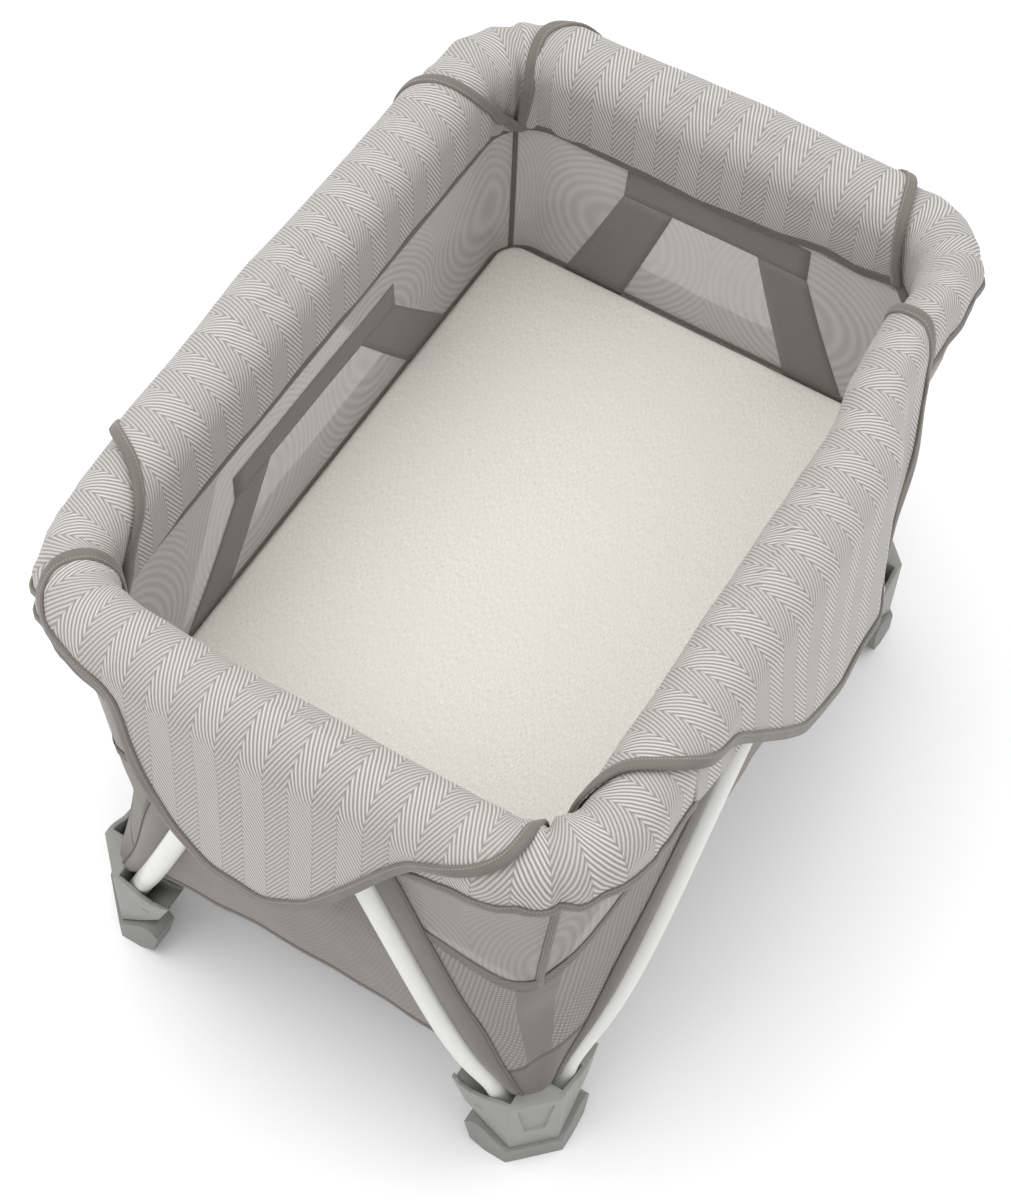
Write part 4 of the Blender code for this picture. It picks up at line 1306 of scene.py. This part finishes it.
def fitted_sheet():
    """Sides with rounded edges, and a top of shrinking rings with a low crown."""
    low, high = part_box("mattress")
    bottom, top = low[2], high[2]
    edge, crown_height = 0.009, 0.0022
    levels = []  # (outward offset, z)
    for k in range(5):
        a = math.pi / 2 * k / 4
        levels.append((-(edge - edge * math.sin(a)), bottom + edge - edge * math.cos(a)))
    levels.append((0.0006, (bottom + top) / 2))
    for k in range(6):
        a = math.pi / 2 * k / 5
        levels.append((-(edge - edge * math.cos(a)), top - edge + edge * math.sin(a)))
    verts = []
    for off, z in levels:
        for around in BED_OUTLINE:
            point, normal = ring(around, high[0], high[1], MATTRESS_CORNER)
            at_corner = max(near(around, centre, 0.05) for centre in CORNER_AT.values())
            wave = 0.0010 * ripple(around * 20, z * 30, 2.0)
            wave += 0.0011 * at_corner * ripple(around * 130, z * 12, 8.0)
            verts.append((*(point + normal * (off + wave)), z))
    count = len(BED_OUTLINE)
    rim = verts[-count:]
    top_rings = 34
    for k in range(1, top_rings):
        share = 1 - k / top_rings
        inward = 1 - share
        crown = crown_height * math.sin(min(1.0, inward * 3.2) * math.pi / 2)
        fade = min(1.0, inward * 6)
        for x, y, z in rim:
            x, y = x * share, y * share
            wave = 0.0011 * ripple(x * 6, y * 6, 5.0) + 0.0005 * ripple(x * 22, y * 14, 9.0)
            verts.append((x, y, z + crown + wave * fade))
    middle = len(verts)
    faces = ring_faces(middle // count, count)
    last = middle - count
    faces += [(last + j, last + (j + 1) % count, middle) for j in range(count)]
    faces.append(tuple(range(count - 1, -1, -1)))
    verts.append((0, 0, top + crown_height))
    # down the sides the texture runs on with z
    uvs = [(x + (z if abs(z - top) > 0.008 else 0), y) for x, y, z in verts]
    sheet = link_mesh("fitted_sheet", verts, faces, SHEET, uvs)
    attach(sheet, BODIES["mattress"], replaces="mattress")


def sheet_seam():
    """Seam round the top edge of the sheet."""
    _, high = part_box("mattress")
    points = []
    for around in outline(160):
        point, _ = ring(around, high[0] + 0.0004, high[1] + 0.0004, MATTRESS_CORNER)
        points.append((*point, high[2] - 0.0085))
    seam = sweep("sheet_seam", points, oval(0.0011, 6), SHEET, UP, closed=True)
    attach(seam, BODIES["mattress"])


def base_board():
    low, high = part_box("support_panel")
    levels = (  # (outward offset, z)
        (-0.004, low[2]),
        (-0.001, low[2] + 0.0006),
        (0, low[2] + 0.002),
        (-0.001, high[2] - 0.0004),
    )
    verts = []
    for off, z in levels:
        for around in BED_OUTLINE:
            point, normal = ring(around, high[0], high[1], MATTRESS_CORNER)
            verts.append((*(point + normal * off), z))
    count = len(BED_OUTLINE)
    faces = ring_faces(4, count)
    faces += [tuple(range(count - 1, -1, -1)), tuple(3 * count + j for j in range(count))]
    uvs = [vert[:2] for vert in verts]
    board = link_mesh("base_board", verts, faces, BOARD, uvs, smooth=False)
    attach(board, BODIES["support_panel"], replaces="support_panel")


def board_ribs():
    """Three flat ribs across the underside of the board."""
    low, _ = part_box("support_panel")
    for i, x in enumerate((-0.20, 0.0, 0.20)):
        points = [(x, y, low[2] - 0.0010) for y in np.linspace(-0.245, 0.245, 30)]
        rib = sweep(f"board_rib_{i}", points, oval(0.0014, 10, wide=5.0), PIPING, UP)
        attach(rib, BODIES["support_panel"])


fitted_sheet()
sheet_seam()
base_board()
board_ribs()

# ------------------------------------------------------------------ finishes on the frame's parts
FINISHES = (
    (("foot_", "bracket_"), GREY_PLASTIC),
    (("boot_",), RUBBER),
    (("rail_", "elbow_", "link_", "leg_"), TUBE),
    (("button_",), DARK_PLASTIC),
)


def soften(part, width):
    """Smooth shading and small bevels on the sharp edges."""
    part.data.polygons.foreach_set("use_smooth", [True] * len(part.data.polygons))
    weld = part.modifiers.new("weld", "WELD")
    weld.merge_threshold = 0.00002
    bevel = part.modifiers.new("soft_edges", "BEVEL")
    bevel.limit_method = "ANGLE"
    bevel.angle_limit = math.radians(32)
    bevel.width = width
    bevel.segments = 2
    bevel.harden_normals = True


for node, part in frame["nodes"].items():
    finish = DARK_PLASTIC if node == "hub" else SLEEVE
    for prefixes, mat in FINISHES:
        if node.startswith(prefixes):
            finish = mat
    part.data.materials.clear()
    part.data.materials.append(finish)
    if node.startswith(("foot_", "boot_")):
        soften(part, 0.0016)
    elif node.startswith(("bracket_", "button_", "hub")):
        soften(part, 0.0008)


# ------------------------------------------------------------------ floor, light, camera
def add_floor():
    half = 6
    mesh = bpy.data.meshes.new("floor")
    corners = [(-half, -half, 0), (half, -half, 0), (half, half, 0), (-half, half, 0)]
    mesh.from_pydata(corners, [], [(0, 1, 2, 3)])
    floor = bpy.data.objects.new("floor", mesh)
    bpy.context.scene.collection.objects.link(floor)
    pale = Look("pale_floor").finish(Base_Color=(0.96, 0.96, 0.96, 1), Roughness=0.9)
    mesh.materials.append(pale)


def add_world():
    world = bpy.data.worlds.new("studio")
    bpy.context.scene.world = world
    world.use_nodes = True
    background = world.node_tree.nodes["Background"]
    background.inputs["Color"].default_value = (1.0, 1.0, 1.0, 1)
    background.inputs["Strength"].default_value = 0.95


def area_light(name, location, target, size, power):
    light = bpy.data.lights.new(name, "AREA")
    light.energy = power
    light.size = size
    lamp = bpy.data.objects.new(name, light)
    bpy.context.scene.collection.objects.link(lamp)
    lamp.location = location
    lamp.rotation_mode = "QUATERNION"
    lamp.rotation_quaternion = (Vector(target) - Vector(location)).to_track_quat("-Z", "Y")


def add_camera(location, azimuth, elevation, roll, lens):
    """Angles in degrees: azimuth from the front, elevation above the floor."""
    camera = bpy.data.cameras.new("camera")
    holder = bpy.data.objects.new("camera", camera)
    bpy.context.scene.collection.objects.link(holder)
    az, el, roll = math.radians(azimuth), math.radians(elevation), math.radians(roll)
    back = Vector((math.sin(az) * math.cos(el), -math.cos(az) * math.cos(el), math.sin(el)))
    ahead = -back
    level = ahead.cross(Vector(UP)).normalized()
    upright = level.cross(ahead)
    right = math.cos(roll) * level + math.sin(roll) * upright
    top = -math.sin(roll) * level + math.cos(roll) * upright
    rows = [(right[i], top[i], back[i], location[i]) for i in range(3)]
    holder.matrix_world = Matrix((*rows, (0, 0, 0, 1)))
    camera.sensor_width = 36.0
    camera.lens = lens
    camera.clip_end = 50
    bpy.context.scene.camera = holder


add_floor()
add_world()
area_light("key", location=(-0.6, 0.7, 3.4), target=(0, 0, 0.5), size=2.8, power=58)
area_light("fill", location=(1.6, -2.0, 2.6), target=(0, 0, 0.4), size=2.4, power=18)
add_camera(
    location=(-1.35357934, -0.73432097, 2.79459174),
    azimuth=-60.82505325,
    elevation=57.85626989,
    roll=2.54389693,
    lens=79.38903,
)
bpy.context.scene.view_settings.view_transform = "Standard"
